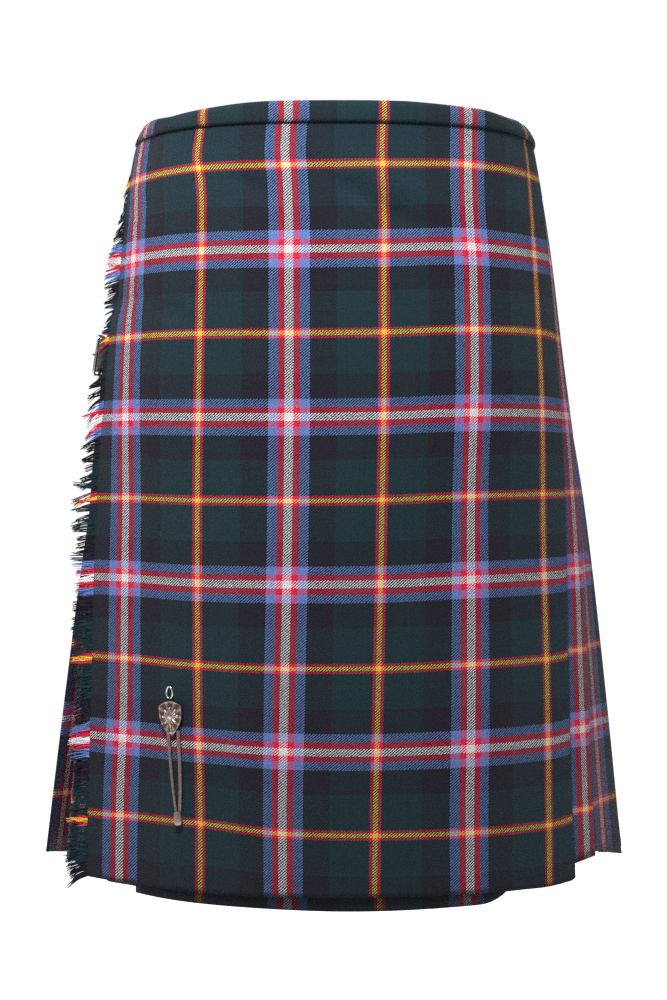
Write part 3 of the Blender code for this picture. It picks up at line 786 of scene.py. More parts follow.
SAG = Curves(
    (
        (0.0176, 0.0016, 0.0016, 0.0008, 0.0010, 0.0004, -0.0012, -0.0010, -0.0010),
        (0.0492, 0.0018, 0.0018, 0.0009, 0.0014, 0.0007, -0.0014, -0.0012, -0.0012),
        (0.1147, 0.0024, 0.0022, 0.0019, 0.0023, 0.0016, -0.0014, -0.0006, -0.0006),
        (0.1802, 0.0013, 0.0013, 0.0018, 0.0027, 0.0019, -0.0015, -0.0028, -0.0010),
        (0.2457, 0.0006, 0.0006, 0.0020, 0.0026, 0.0017, -0.0014, -0.0021, -0.0014),
        (0.3112, 0.0002, 0.0002, 0.0017, 0.0021, 0.0013, -0.0015, -0.0029, -0.0028),
        (0.3767, -0.0007, -0.0007, 0.0013, 0.0016, 0.0012, -0.0014, -0.0024, -0.0036),
        (0.4422, -0.0023, -0.0023, -0.0002, 0.0009, 0.0009, -0.0009, -0.0017, -0.0037),
        (0.5077, -0.0041, -0.0041, -0.0034, -0.0008, 0.0000, -0.0009, -0.0013, -0.0040),
        (0.5732, -0.0064, -0.0076, -0.0083, -0.0030, -0.0014, -0.0008, -0.0005, -0.0034),
        (LENGTH, -0.0040, -0.0045, -0.0048, -0.0034, -0.0020, -0.0008, -0.0005, -0.0034),
    )
)
STRAY_AT = np.array([0.0, *(APRON_WHITE + WARP_HALF * step for step in range(6)), 0.4227])


def stray(table, across, depth):
    row = table(np.asarray(float(depth)))
    return Curves(np.column_stack([STRAY_AT, row]))(across)[..., 0]


FOLD_LEAN = 0.0032  # how far the over-apron's fold leans forward above the hem
FOLD_RETURN = 0.0025  # how far of that it comes back at the hem


def fold_shift(depth):
    lean = FOLD_LEAN * float(smooth_step(0.28, 0.46, depth))
    return FOLD_RETURN * float(smooth_step(0.54, LENGTH, depth)) - lean


def over_apron_section(depth):
    level = level_at(depth)
    flat_end = APRON_RIGHT - level.tuck
    fold_rise = apron_fold_rise(depth)
    fold = APRON_RIGHT - FOLD_RADIUS + fold_shift(depth)
    face = np.concatenate([np.linspace(-APRON_LEFT, flat_end, 124)[:-1], np.linspace(flat_end, fold, 20)])
    rise = edge_lift(face, depth) + fold_rise * ramp((face - flat_end) / level.tuck)
    rise += crease_height(APRON_CREASES, face, depth)
    turn = np.linspace(0.0, math.pi, 7)[1:-1]
    back = np.linspace(fold, flat_end + CLOTH / 2 + SEAM, 10)
    arc = np.concatenate([face, fold + FOLD_RADIUS * np.sin(turn), back])
    back_rise = fold_rise * ramp((back - flat_end) / level.tuck) - LAYER
    rise = np.concatenate([rise, rise[-1] - FOLD_RADIUS + FOLD_RADIUS * np.cos(turn), back_rise])
    across = face + APRON_LEFT
    across, sag = across - stray(DRIFT, across, depth), stray(SAG, across, depth)
    round_fold = across[-1] + FOLD_RADIUS * turn
    across = np.concatenate([across, round_fold, round_fold[-1] + fold - back + FOLD_RADIUS])
    sag = np.concatenate([sag, np.full(len(turn) + len(back), sag[-1])])
    return arc, rise, across, -sag, 0.0


def over_apron_hem(arc):
    left = LEFT_HEM_RISE * (np.maximum(-arc, 0.0) / APRON_LEFT) ** 3
    right = RIGHT_HEM_RISE * (np.maximum(arc, 0.0) / APRON_RIGHT) ** 2
    corner = CORNER_HEM_RISE * smooth_step(APRON_RIGHT - CORNER_WIDTH, APRON_RIGHT, arc) ** 2
    past_tip = (arc - APRON_RIGHT - fold_shift(LENGTH) + TIP_WIDTH) / TIP_WIDTH
    tip = TIP_HEM_RISE * np.clip(past_tip, 0.0, 1.0) ** 2
    return LENGTH - left - right - corner - tip


def make_over_apron():
    points, uv = cloth_grid(over_apron_section, over_apron_hem, 134)
    piece = grid_object("over_apron_cloth", points, uv, TARTAN)
    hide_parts("over_apron")
    return piece


def under_apron_section(depth):
    fold, inner = -UNDER_LEFT, -UNDER_LEFT + UNDER_TUCK
    seam = -APRON_LEFT - SEAM_ARC
    turn = np.linspace(0.0, math.pi, 6)[1:-1]
    sway = UNDER_SWAY * smooth_step(0.25, LENGTH, depth)
    face = np.linspace(UNDER_RIGHT, fold + FOLD_RADIUS, 90)
    face_rise = UNDER + sway * np.sin(face * 38.0 + 0.6)
    middle = np.linspace(fold + FOLD_RADIUS, inner - FOLD_RADIUS, 8)
    last = np.linspace(inner - FOLD_RADIUS, fold, 8)
    end = np.linspace(fold - LAYER, seam, 8)
    base = face_rise[-1]
    arc = np.concatenate(
        [
            face,
            fold + FOLD_RADIUS - FOLD_RADIUS * np.sin(turn),
            middle,
            inner - FOLD_RADIUS + FOLD_RADIUS * np.sin(turn),
            last,
            end,
        ]
    )
    rise = np.concatenate(
        [
            face_rise,
            base - FOLD_RADIUS * (1.0 - np.cos(turn)),
            np.full(len(middle), base - LAYER),
            base - LAYER - FOLD_RADIUS * (1.0 - np.cos(turn)),
            np.full(len(last), base - 2 * LAYER),
            base - 2 * LAYER + (VALLEY - UNDER + 2 * LAYER) * smooth_step(0.0, 1.0, np.linspace(0, 1, 8)),
        ]
    )
    across = UNDER_RIGHT + APRON_LEFT - running(np.hypot(np.diff(arc), np.diff(rise)))
    return arc, rise, across, LENGTH - UNDER_LENGTH, 0.0


def under_hem(arc):
    corner = np.clip((arc - (UNDER_RIGHT - UNDER_CORNER)) / UNDER_CORNER, 0.0, 1.0)
    seam = smooth_step(UNDER_LEFT, UNDER_LEFT + UNDER_SEAM_STEP, -arc)
    seam = seam * (1.0 + smooth_step(*UNDER_SEAM_SLOPE, -arc))
    left = UNDER_LEFT_RISE * np.clip(-arc / UNDER_LEFT, 0.0, 1.0) ** 1.5
    return UNDER_LENGTH - left - UNDER_CORNER_RISE * corner**2.6 - (UNDER_LENGTH - UNDER_SEAM_LENGTH) * seam


def make_under_apron():
    points, uv = cloth_grid(under_apron_section, under_hem, 100)
    piece = grid_object("under_apron_cloth", points, uv, TARTAN)
    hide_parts("under_apron")
    return piece


# --- pleats ------------------------------------------------------------------------------------

# Each pleat hangs a little differently below its stitching. height: of its fold, as a share of the
# even height. sway: sideways, at the hem. belly: how far its face bows out.
Hang = namedtuple("Hang", "height sway waves phase belly")
FACE_STEPS = 10
HIDDEN_STEPS = 5


def pleat_hangs():
    chance = np.random.default_rng(7)
    hangs = []
    for pleat in range(PLEATS):
        calm = pleat < len(FIRST_KICKS) or pleat > PLEATS - 3
        size = 0.3 if calm else 1.0
        hangs.append(
            Hang(
                height=1.0 + size * chance.uniform(-0.16, 0.16),
                sway=size * chance.uniform(-0.0022, 0.0022),
                waves=chance.uniform(0.6, 1.5),
                phase=chance.uniform(0.0, 6.28),
                belly=chance.uniform(0.0004, 0.0016),
            )
        )
    # The second pleat is drawn in behind the first.
    hangs[1] = hangs[1]._replace(belly=-0.0040)
    return hangs


HANGS = pleat_hangs()
# (depth, how far the first pleat's edge and its white stripe lean forward, how far the weft stripes of the
# pleats rise, how far the last pleat is pressed flat, how far the pleats under the hip strap swell)
PLEAT_SHAPE = Curves(
    (
        (0.000, 0.000, 0.0000, 0.0000, 0.00, 0.0000),
        (0.120, 0.000, 0.0000, 0.0002, 0.00, 0.0010),
        (0.190, 0.000, 0.0000, 0.0005, 0.00, 0.0060),
        (0.250, 0.000, 0.0000, 0.0015, 0.00, 0.0020),
        (0.330, -0.003, -0.0013, 0.0045, 0.45, 0.0000),
        (0.400, -0.010, -0.0038, 0.0052, 0.80, 0.0000),
        (0.470, -0.016, -0.0066, 0.0070, 1.00, 0.0000),
        (0.560, -0.020, -0.0081, 0.0085, 1.00, 0.0000),
        (LENGTH, -0.020, -0.0081, 0.0088, 1.00, 0.0000),
    )
)
FLAT_HEIGHT = 0.0050
SWOLLEN = 4  # how many of the last pleats swell under the hip strap
OPEN_DROP = 0.008  # the last two pleats hang open, and their inner sides hang lower
OPEN_SIDE = 0.0157  # the inner sides begin this far before a white stripe's middle


def pleat_fold(depth, pleat):
    """(arc, rise) of the edge of a pleat."""
    hang = HANGS[pleat]
    loose = float(smooth_step(0.16, LENGTH, depth))
    lean, _, _, flat, swell = PLEAT_SHAPE(np.asarray(float(depth)))
    fold = APRON_RIGHT + reveal(depth) * (pleat + 1)
    fold += hang.sway * loose * math.sin(hang.waves * 9.0 * depth + hang.phase)
    height = fold_height(depth, pleat) * (1.0 + (hang.height - 1.0) * loose)
    if pleat == 0:
        fold += lean
    if pleat >= PLEATS - SWOLLEN:
        height += swell
    if pleat == PLEATS - 1:
        height += (FLAT_HEIGHT - height) * flat
    return fold, VALLEY + height


def pleat_section(depth):
    level = level_at(depth)
    tuck, shown = float(level.tuck), reveal(depth)
    loose = float(smooth_step(0.10, 0.45, depth))
    lean, white_lean, weft_rise, _, _ = PLEAT_SHAPE(np.asarray(float(depth)))
    turn = np.linspace(0.0, math.pi, 5)[1:-1]
    low = float(smooth_step(0.40, LENGTH, depth))
    arcs, rises, acrosses, drops = [], [], [], []
    apron_rise = VALLEY + apron_fold_rise(depth)
    previous = APRON_RIGHT + fold_shift(depth)
    before_it, sink = previous, 0.0
    for pleat in range(PLEATS):
        fold, top = pleat_fold(depth, pleat)
        valley = previous - tuck
        white = APRON_WHITE + 2 * WARP_HALF * (pleat + 3)
        edge = fold - FOLD_RADIUS
        hidden = np.linspace(valley, previous, HIDDEN_STEPS + 1)[:-1]
        face = np.linspace(previous, edge, FACE_STEPS + 1)
        if pleat == 0:
            start = VALLEY + (apron_rise - VALLEY) * ramp((hidden - valley) / tuck)
            bend = apron_rise
        else:
            slope = (top - VALLEY) / (fold - valley)
            start = VALLEY + slope * (hidden - valley) + 0.8 * sink * arch(hidden, before_it, previous)
            bend = VALLEY + slope * (previous - valley)
        along = (face - previous) / (edge - previous)
        out = bend + (top - bend) * along + HANGS[pleat].belly * loose * np.sin(math.pi * along)
        back = np.linspace(edge, fold - tuck, HIDDEN_STEPS + 1)
        # A pleat that sinks in takes the layers under it along.
        sink = min(HANGS[pleat].belly, 0.0) * loose
        back_rise = np.linspace(top - LAYER, VALLEY + LAYER, HIDDEN_STEPS + 1)
        back_rise += sink * arch(back, previous, edge)
        centre = APRON_RIGHT + shown * (pleat + 0.5)
        centre += (white_lean, 0.55 * lean)[pleat] if pleat < 2 else 0.0
        before, after = centre - previous, fold - centre
        opened = pleat >= PLEATS - 2
        arcs += [hidden, face, edge + FOLD_RADIUS * np.sin(turn), back]
        rises += [start, out, top - FOLD_RADIUS + FOLD_RADIUS * np.cos(turn), back_rise]
        acrosses += [
            white - before - (previous - hidden) * (WARP_HALF - before) / tuck,
            white + face - centre,
            white + edge - centre + FOLD_RADIUS * turn,
            white - OPEN_SIDE + edge - back
            if opened
            else white + after + (edge - back) * (WARP_HALF - after) / tuck,
        ]
        drops.append(np.zeros(len(hidden) + len(face) + len(turn)))
        drops.append(OPEN_DROP * opened * low * (edge - back) / tuck)
        before_it, previous = previous, fold
    end = ring_at(depth).girth - APRON_LEFT - SEAM_ARC - SEAM
    last = np.linspace(previous - tuck, end, 12)
    arcs.append(last)
    rises.append(np.full(len(last), VALLEY))
    acrosses.append(white + WARP_HALF + last - last[0])
    drops.append(np.zeros(len(last)))
    arc = np.concatenate(arcs)
    # The weft stripes' rise fades towards the back.
    fade = 1.0 - 0.45 * smooth_step(APRON_RIGHT + 3 * shown, APRON_RIGHT + 7 * shown, arc)
    return arc, np.concatenate(rises), np.concatenate(acrosses), weft_rise * fade, np.concatenate(drops)


def pleat_hem(arc):
    share = np.clip((arc - APRON_RIGHT) / back_stretch(LENGTH), 0.0, 1.0)
    start = LENGTH - PLEAT_HEM_RISE
    left = LEFT_PLEAT_RISE * smooth_step(*LEFT_PLEAT_SHARES, share)
    first = FIRST_PLEATS_RISE * arch(arc, APRON_RIGHT + FIRST_PLEATS_START, APRON_RIGHT + FIRST_PLEATS_END)
    return start + (SEAM_LENGTH - start) * share - left - first


def make_pleats():
    points, uv = cloth_grid(pleat_section, pleat_hem, 84, first=0.003)
    piece = grid_object("pleats_cloth", points, uv, TARTAN)
    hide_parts("pleats")
    return piece


# --- waistband ---------------------------------------------------------------------------------

# Where the band's stripes lie, and how far along from the apron's.
BAND_DRIFT = Curves(
    ((-0.217, 0.0060), (-0.112, 0.0045), (-0.038, 0.0016), (0.034, 0.0035), (0.107, -0.0010), (0.180, 0.0010))
)
BAND_WEFT = FIRST_YELLOW - 0.026  # place on the cloth of its top edge
# The strip's outline: from its lower edge, up the outside, over the top and down the inside. inward
# is a share of the width of what the band covers.
BandPoint = namedtuple("BandPoint", "depth out inward")
BAND_OUTLINE = (
    BandPoint(0.01670, -0.0010, 0.0),
    BandPoint(0.01655, 0.0000, 0.0),
    BandPoint(0.01620, 0.0006, 0.0),
    BandPoint(0.01480, 0.0010, 0.0),
    BandPoint(0.01180, 0.0012, 0.0),
    BandPoint(0.00850, 0.0012, 0.0),
    BandPoint(0.00450, 0.0010, 0.0),
    BandPoint(0.00180, 0.0006, 0.0),
    BandPoint(0.00030, 0.0000, 0.05),
    BandPoint(-0.00050, -0.0002, 0.25),
    BandPoint(-0.00070, 0.0000, 0.50),
    BandPoint(-0.00050, 0.0002, 0.75),
    BandPoint(0.00040, 0.0000, 0.96),
    BandPoint(0.00200, 0.0000, 1.0),
    BandPoint(0.00700, 0.0000, 1.0),
    BandPoint(0.01400, 0.0000, 1.0),
)


def band_path():
    """(arc, rise, width covered) along the band, at the top edge."""
    girth = ring_at(0.0).girth
    on_pleats = VALLEY + STITCHED_HEIGHT + LAYER + SEAM
    last_fold = APRON_RIGHT + reveal(0.0) * PLEATS
    thin, thick = 2.1 * LAYER, STITCHED_HEIGHT + 2.1 * LAYER
    lift = [
        (-APRON_LEFT + inwards, float(edge_lift(-APRON_LEFT + inwards, 0.0)) + LAYER, thin)
        for inwards in (0.0, 0.017, 0.034, EDGE_LIFT_WIDTH)
    ]
    flat_end = APRON_RIGHT - float(level_at(0.0).tuck)
    rest = [
        (flat_end, LAYER, thin),
        (APRON_RIGHT, float(apron_fold_rise(0.0)) + LAYER, thin + LAYER),
        (APRON_RIGHT + 0.020, on_pleats, thick),
        (last_fold + CLOTH, on_pleats, thick),
        (girth - APRON_LEFT - SEAM_ARC, VALLEY + LAYER, thin),
        (girth - UNDER_LEFT - UNDER_TUCK / 5, UNDER + LAYER, thin),
        (girth + UNDER_RIGHT, UNDER + LAYER, thin),
    ]
    table = np.array(lift + rest)
    arc = np.arange(table[0, 0], table[-1, 0], 0.004)
    return arc, np.interp(arc, table[:, 0], table[:, 1]), np.interp(arc, table[:, 0], table[:, 2])


def make_waistband():
    arc, rise, covered = band_path()
    points, uv, down = [], [], 0.0
    for i, point in enumerate(BAND_OUTLINE):
        if i:
            before = BAND_OUTLINE[i - 1]
            down += math.hypot(point.depth - before.depth, (point.inward - before.inward) * 0.004)
        # The roll follows the top edge's plan, so that the band stands straight up.
        ring = ring_at(max(point.depth, 0.0))
        out = rise + point.out - point.inward * covered
        points.append(ring.place(arc, out, point.depth + top_drop(arc, max(point.depth, 0.0))))
        across = arc + APRON_LEFT - BAND_DRIFT(arc)[:, 0]
        uv.append(np.stack([across, np.full(len(arc), BAND_WEFT + BAND_HEIGHT - down)], -1))
    points, uv = np.array(points)[::-1], np.array(uv)[::-1]
    piece = grid_object("waistband_cloth", points, uv, TARTAN, 0.0009)
    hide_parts("waistband")
    return piece


# --- fringe ------------------------------------------------------------------------------------

# How the loose threads lie at each depth. droop: how steeply they hang. length: how far they reach.
FRINGE_LIE = Curves(
    (
        # depth, droop (radians), length
        (0.040, 1.10, 0.0060),
        (0.070, 1.00, 0.0100),
        (0.090, 0.75, 0.0125),
        (0.112, 0.22, 0.0165),
        (0.128, 0.35, 0.0150),
        (0.148, 0.15, 0.0140),
        (0.158, 0.30, 0.0095),
        (0.168, 0.40, 0.0068),
        (0.177, 0.45, 0.0075),
        (0.183, 0.55, 0.0150),
        (0.190, 0.60, 0.0080),
        (0.202, 0.55, 0.0095),
        (0.212, 0.50, 0.0150),
        (0.235, 0.40, 0.0215),
        (0.250, 0.45, 0.0200),
        (0.285, 0.15, 0.0175),
        (0.311, 0.22, 0.0235),
        (0.360, 0.12, 0.0210),
        (0.377, 0.12, 0.0195),
        (0.430, 0.08, 0.0185),
        (0.445, 0.10, 0.0195),
        (0.480, 0.42, 0.0185),
        (0.508, 0.18, 0.0200),
        (0.540, 0.30, 0.0175),
        (0.573, 0.02, 0.0190),
        (0.600, 0.28, 0.0200),
        (0.618, 0.58, 0.0205),
    )
)
FRINGE_SIDEWAYS = 1.6  # how much more the loose threads point to the side than along the cloth
FRINGE_POINTS = 8
FRINGE_SIDES = 4
FRINGE_THREAD = 0.00042


def fringe_threads():
    """The middle line of each thread, its root's depth and a number of its own."""
    chance = np.random.default_rng(11)
    depths = np.arange(FRINGE_TOP, FRINGE_BOTTOM, WEFT_THREAD)
    foot = np.arange(FRINGE_FOOT, FRINGE_BOTTOM, WEFT_THREAD)
    depths = np.sort(np.concatenate([depths, foot + WEFT_THREAD / 3]))
    share = np.linspace(0.0, 1.0, FRINGE_POINTS)
    threads, start = [], 0
    while start < len(depths):
        lock = depths[start : start + int(chance.integers(4, 13))]
        start += len(lock)
        middle = lock.mean()
        droop, length = FRINGE_LIE(np.asarray(middle))
        tuft = 1.0 - 0.75 * smooth_step(0.33, 0.42, middle)
        droop = droop + chance.normal(0.0, 0.16) * tuft
        length = length * chance.uniform(0.80, 1.06)
        curl = chance.normal(0.0, 0.0012)
        gather = chance.uniform(0.2, 0.8) * tuft
        for depth in lock:
            own_length = length * chance.uniform(0.86, 1.05)
            angle = droop * (0.45 + 0.9 * share) + chance.normal(0.0, 0.05)
            step = own_length / (FRINGE_POINTS - 1)
            out = running(np.cos(angle[1:]) * step)
            fall = running(np.sin(angle[1:]) * step)
            fall = fall + (middle - depth) * gather * share**1.5
            bow = curl * share**2 + chance.normal(0.0, 0.0004) * np.sin(share * 5.0 + chance.uniform(0, 6))
            threads.append((depth, out, fall, bow, chance.uniform(0.0, 1.0)))
    return threads, share


def make_fringe():
    threads, share = fringe_threads()
    turn = np.linspace(0.0, 2.0 * math.pi, FRINGE_SIDES, endpoint=False)
    taper = FRINGE_THREAD * (1.0 - 0.30 * share**2)
    over = np.array([0.0, 0.0, 1.0])
    points, faces, uvs = [], [], []
    index = numbered(FRINGE_POINTS, FRINGE_SIDES)
    thread_faces = np.vstack([quads_of(np.hstack([index, index[:, :1]])), index[-1:]])
    for number, (depth, out, fall, bow, own) in enumerate(threads):
        ring = ring_at(depth)
        arc = np.array([-APRON_LEFT + 0.0014, -APRON_LEFT + 0.009])
        edge = ring.place(arc, edge_lift(arc, depth))
        away = edge[0] - edge[1]
        away /= np.linalg.norm(away)
        away = away + np.array([-FRINGE_SIDEWAYS, 0.0, 0.0])
        away /= np.linalg.norm(away)
        off = np.array([away[1], -away[0], 0.0])
        middle = edge[0] + out[:, None] * away + bow[:, None] * off
        middle[:, 2] -= fall
        around = np.cos(turn)[:, None] * off + np.sin(turn)[:, None] * over
        around = taper[:, None, None] * around
        points.append((middle[:, None, :] + around).reshape(-1, 3))
        faces.append(thread_faces + number * index.size)
        uvs.append(np.tile((own, depth), (index.size, 1)))
    mesh = mesh_of("fringe_threads", np.concatenate(points), np.concatenate(faces), np.concatenate(uvs))
    piece = add_piece("fringe_threads", mesh, FRINGE_WOOL)
    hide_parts("fringe")
    return piece


# --- straps and buckles ------------------------------------------------------------------------


def pleat_face(depth):
    return VALLEY + float(level_at(depth).fold_height) + CLOTH / 2


def buckle_heights():
    """Heights over the folds of the tab, the bars, the tab's end, and the strap over it."""
    tab = AIR + LEATHER / 2
    bar = tab + LEATHER / 2 + AIR + BAR_RADIUS
    stub = bar + BAR_RADIUS + AIR + LEATHER / 2
    return tab, bar, stub, stub + LEATHER + AIR


def hole_middle():
    tab, bar, _, over = buckle_heights()
    return BUCKLE_LENGTH * ((bar + BAR_RADIUS / 2 - tab) / (over - tab) - 0.5)


class StrapPath:
    """Turns a distance back along a strap, and a height, into a place on the kilt."""

    LONGEST = 0.20

    def __init__(self, strap):
        self.strap = strap
        ring = ring_at(strap.depth)
        if strap.side < 0:
            start = ring.girth - APRON_LEFT - strap.root
        else:
            start = APRON_RIGHT + strap.root
        rise = pleat_face(strap.depth) + buckle_heights()[1]
        self.arcs = start + strap.side * np.linspace(0.0, self.LONGEST, 101)
        points = ring.place(self.arcs, np.full(101, rise))
        self.distances = running(np.linalg.norm(np.diff(points, axis=0), axis=1))

    def place(self, distance, height, depth, on_pleats=1.0):
        ring = ring_at(depth)
        arc = ring.arc_facing(ring_at(self.strap.depth), np.interp(distance, self.distances, self.arcs))
        bulge = math.sin(math.pi * min(1.0, max(0.0, (distance - 0.004) / 0.150))) ** 0.8
        return ring.place(arc, height + (pleat_face(depth) + self.strap.lift * bulge) * on_pleats)


def strip_outline(width, thickness):
    """Half-round edges and a pressed line inside each edge. (down, out) points round the strip."""
    half, body = width / 2, thickness / 2
    corner = (half - 0.0006, body * 0.75)
    line = half - STITCH_LINE
    upper = [
        (-half, 0.0),
        (-corner[0], corner[1]),
        (-half + 0.0016, body),
        (-line - 0.0005, body * 0.97),
        (-line, body * 0.72),
        (-line + 0.0005, body * 0.97),
        (-half / 2, body),
        (0.0, body),
    ]
    upper += [(-down, out) for down, out in reversed(upper[:-1])]
    lower = [(half / 2, -body), (0.0, -body), (-half / 2, -body)]
    return np.array([*upper, (corner[0], -corner[1]), *lower, (-corner[0], -corner[1])])


def strip_points(path, middle, outline, taper):
    """Places of an outline carried along (distance, height, on_pleats) rows, and narrowed by taper."""
    level = path.strap.depth
    centre = np.array([path.place(distance, height, level, on) for distance, height, on in middle])
    ahead = np.gradient(centre, axis=0)
    grid = np.empty((len(middle), len(outline), 3))
    for i, (distance, height, on_pleats) in enumerate(middle):
        for j, down in enumerate(outline[:, 0]):
            grid[i, j] = path.place(distance, height, level + down * taper[i], on_pleats)
        up = grid[i, 0] - grid[i, len(outline) // 2]
        out_way = np.cross(ahead[i], up)
        out_way *= 1.0 / np.linalg.norm(out_way)
        off_cloth = ring_at(level).outward(np.interp(distance, path.distances, path.arcs))
        if out_way[:2].dot(off_cloth) < 0:
            out_way = -out_way
        grid[i] += outline[:, 1:] * out_way
    return grid


def leather_strip(name, grid):
    mesh = tube_mesh(name, grid)
    make_outward(mesh)
    mesh.shade_smooth()
    mesh.set_sharp_from_angle(angle=math.radians(55))
    return add_piece(name, mesh, LEATHER_BLACK)


def strap_middle(strap):
    """(distance, height, on_pleats) rows along the strap's middle, and where its tip is."""
    tab, _, _, over = buckle_heights()
    front, heel = strap.run, strap.run + BUCKLE_LENGTH
    tip = heel + KEEPER_AT + TIP_PAST_KEEPER
    on_tab = tab + LEATHER + AIR
    if strap.root_rise is None:
        start = [(0.0, tab, 1), (front / 3, tab, 1)]
    else:
        climb = back_stretch(strap.depth) * LAST_GAP + strap.root
        start = [
            (0.0, strap.root_rise, 0),
            (FRINGE_REACH - strap.root + 0.004, strap.root_rise, 0),
            (-strap.root * 2 + climb, tab, 1),
        ]
    rows = start + [
        (start[-1][0] + 0.012, tab, 1),
        (front - 0.004, tab, 1),
        (front + 0.002, tab + 0.0001, 1),
        (front + 0.0065, tab + 0.0009, 1),
        (front + 0.0152, (tab + over) / 2 + 0.0004, 1),
        (heel - 0.003, over, 1),
        (heel + 0.004, over, 1),
        (heel + STUB, over, 1),
        (heel + STUB + 0.010, on_tab, 1),
        (heel + KEEPER_AT + 0.006, on_tab, 1),
        (tip - 0.010, on_tab, 1),
        (tip, on_tab, 1),
    ]
    return rows, tip


def buckle_frame(path):
    """Where the buckle lies: x back along the strap, y up, z out. Its middle is between the bars."""
    bar = buckle_heights()[1]
    strap = path.strap
    ends = (strap.run, strap.run + BUCKLE_LENGTH)
    levels = (strap.depth - STRAP_WIDTH / 2, strap.depth + STRAP_WIDTH / 2)
    corner = [[Vector(path.place(end, bar, depth)) for depth in levels] for end in ends]
    middle = (corner[0][0] + corner[0][1] + corner[1][0] + corner[1][1]) / 4
    along = (corner[1][0] + corner[1][1] - corner[0][0] - corner[0][1]).normalized()
    up = (corner[0][0] + corner[1][0] - corner[0][1] - corner[1][1]).normalized()
    out = along.cross(up).normalized() * strap.side
    up = (up - up.dot(along) * along).normalized()
    axes = Matrix((along, up, out)).transposed().to_4x4()
    return Matrix.Translation(middle) @ axes


def in_frame(place, points):
    return np.array([place @ Vector(point) for point in points])


def out_of(place):
    """The way straight out of the cloth."""
    return place.to_3x3() @ Vector((0, 0, 1))


def make_buckle(path, place):
    corners, steps = [], 7
    for turn, (sx, sy) in enumerate(((1, 1), (-1, 1), (-1, -1), (1, -1))):
        for angle in math.pi / 2 * (turn + np.linspace(0.0, 1.0, steps)):
            x = sx * (BUCKLE_LENGTH / 2 - BUCKLE_CORNER) + BUCKLE_CORNER * math.cos(angle)
            y = sy * (BUCKLE_HEIGHT / 2 - BUCKLE_CORNER) + BUCKLE_CORNER * math.sin(angle)
            corners.append((x, y, 0.0))
    name = path.strap.name
    item = swept_object(
        f"buckle_{name}_frame",
        in_frame(place, corners),
        circle(BAR_RADIUS, 14, 1.12),
        CHROME,
        closed=True,
        up=out_of(place),
    )
    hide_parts(f"buckle_{name}")


def make_prong(path, place):
    heel = BUCKLE_LENGTH / 2 - BAR_RADIUS - 2 * AIR - LEATHER - PRONG_RADIUS
    front = -BUCKLE_LENGTH / 2
    rest = BAR_RADIUS + AIR + PRONG_RADIUS
    middle = hole_middle()
    outline = (
        (heel, 0.0, 0.0),
        (middle + HOLE_LENGTH / 4, 0.0, -0.0002),
        (middle - HOLE_LENGTH / 4, 0.0, rest),
        (front, 0.0, rest),
        (front - BAR_RADIUS - PRONG_RADIUS, 0.0, rest - PRONG_RADIUS),
    )
    line = smooth_path(outline, 0.0009)
    width = PRONG_RADIUS * np.interp(np.linspace(0, 1, len(line)), (0, 0.85, 1), (1.25, 1.0, 0.65))
    ovals = circle(1.0, 10)[None] * np.stack([np.full(len(line), PRONG_RADIUS), width], -1)[:, None]
    name = path.strap.name
    item = swept_object(
        f"prong_{name}_pin",
        in_frame(place, line),
        ovals,
        CHROME,
        up=out_of(place),
    )
    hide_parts(f"prong_{name}")


def cut(item, cutters):
    """Cuts holes, and leaves the result in the mesh."""
    for cutter in cutters:
        modifier = item.modifiers.new("hole", "BOOLEAN")
        modifier.operation = "DIFFERENCE"
        modifier.object = cutter
    bpy.context.view_layer.update()
    graph = bpy.context.evaluated_depsgraph_get()
    mesh = bpy.data.meshes.new_from_object(item.evaluated_get(graph))
    item.modifiers.clear()
    item.data = mesh
    for cutter in cutters:
        bpy.data.objects.remove(cutter, do_unlink=True)


def slot_cutter(place, x, length, width):
    """A tall cutter with round ends, across the strap at x in the buckle's frame."""
    points = []
    for turn in np.linspace(-math.pi / 2, math.pi / 2, 9):
        points.append((x + (length - width) / 2 + width / 2 * math.cos(turn), width / 2 * math.sin(turn)))
    for turn in np.linspace(math.pi / 2, 3 * math.pi / 2, 9):
        points.append((x - (length - width) / 2 + width / 2 * math.cos(turn), width / 2 * math.sin(turn)))
    count = len(points)
    verts = [place @ Vector((px, py, z)) for z in (-0.008, 0.008) for px, py in points]
    faces = [tuple(range(count))[::-1], tuple(range(count, 2 * count))]
    faces += [(i, (i + 1) % count, count + (i + 1) % count, count + i) for i in range(count)]
    mesh = bpy.data.meshes.new("cutter")
    mesh.from_pydata(verts, [], faces)
    make_outward(mesh)
    item = bpy.data.objects.new("cutter", mesh)
    bpy.context.scene.collection.objects.link(item)
    return item


def make_strap(path, place):
    strap = path.strap
    rows, tip = strap_middle(strap)
    middle = smooth_path(rows, 0.0015)
    # The tip is round.
    left = np.clip((tip - middle[:, 0]) / ROUND_TIP, 0.0, 1.0)
    taper = np.clip(np.sqrt(np.clip(1.0 - (1.0 - left) ** 2, 0.0, 1.0)), 0.12, 1.0)
    grid = strip_points(path, middle, strip_outline(STRAP_WIDTH, LEATHER), taper)
    item = leather_strip(f"strap_{strap.name}_leather", grid)
    cut(item, [slot_cutter(place, hole_middle(), HOLE_LENGTH, HOLE_WIDTH)])
    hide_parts(f"strap_{strap.name}")


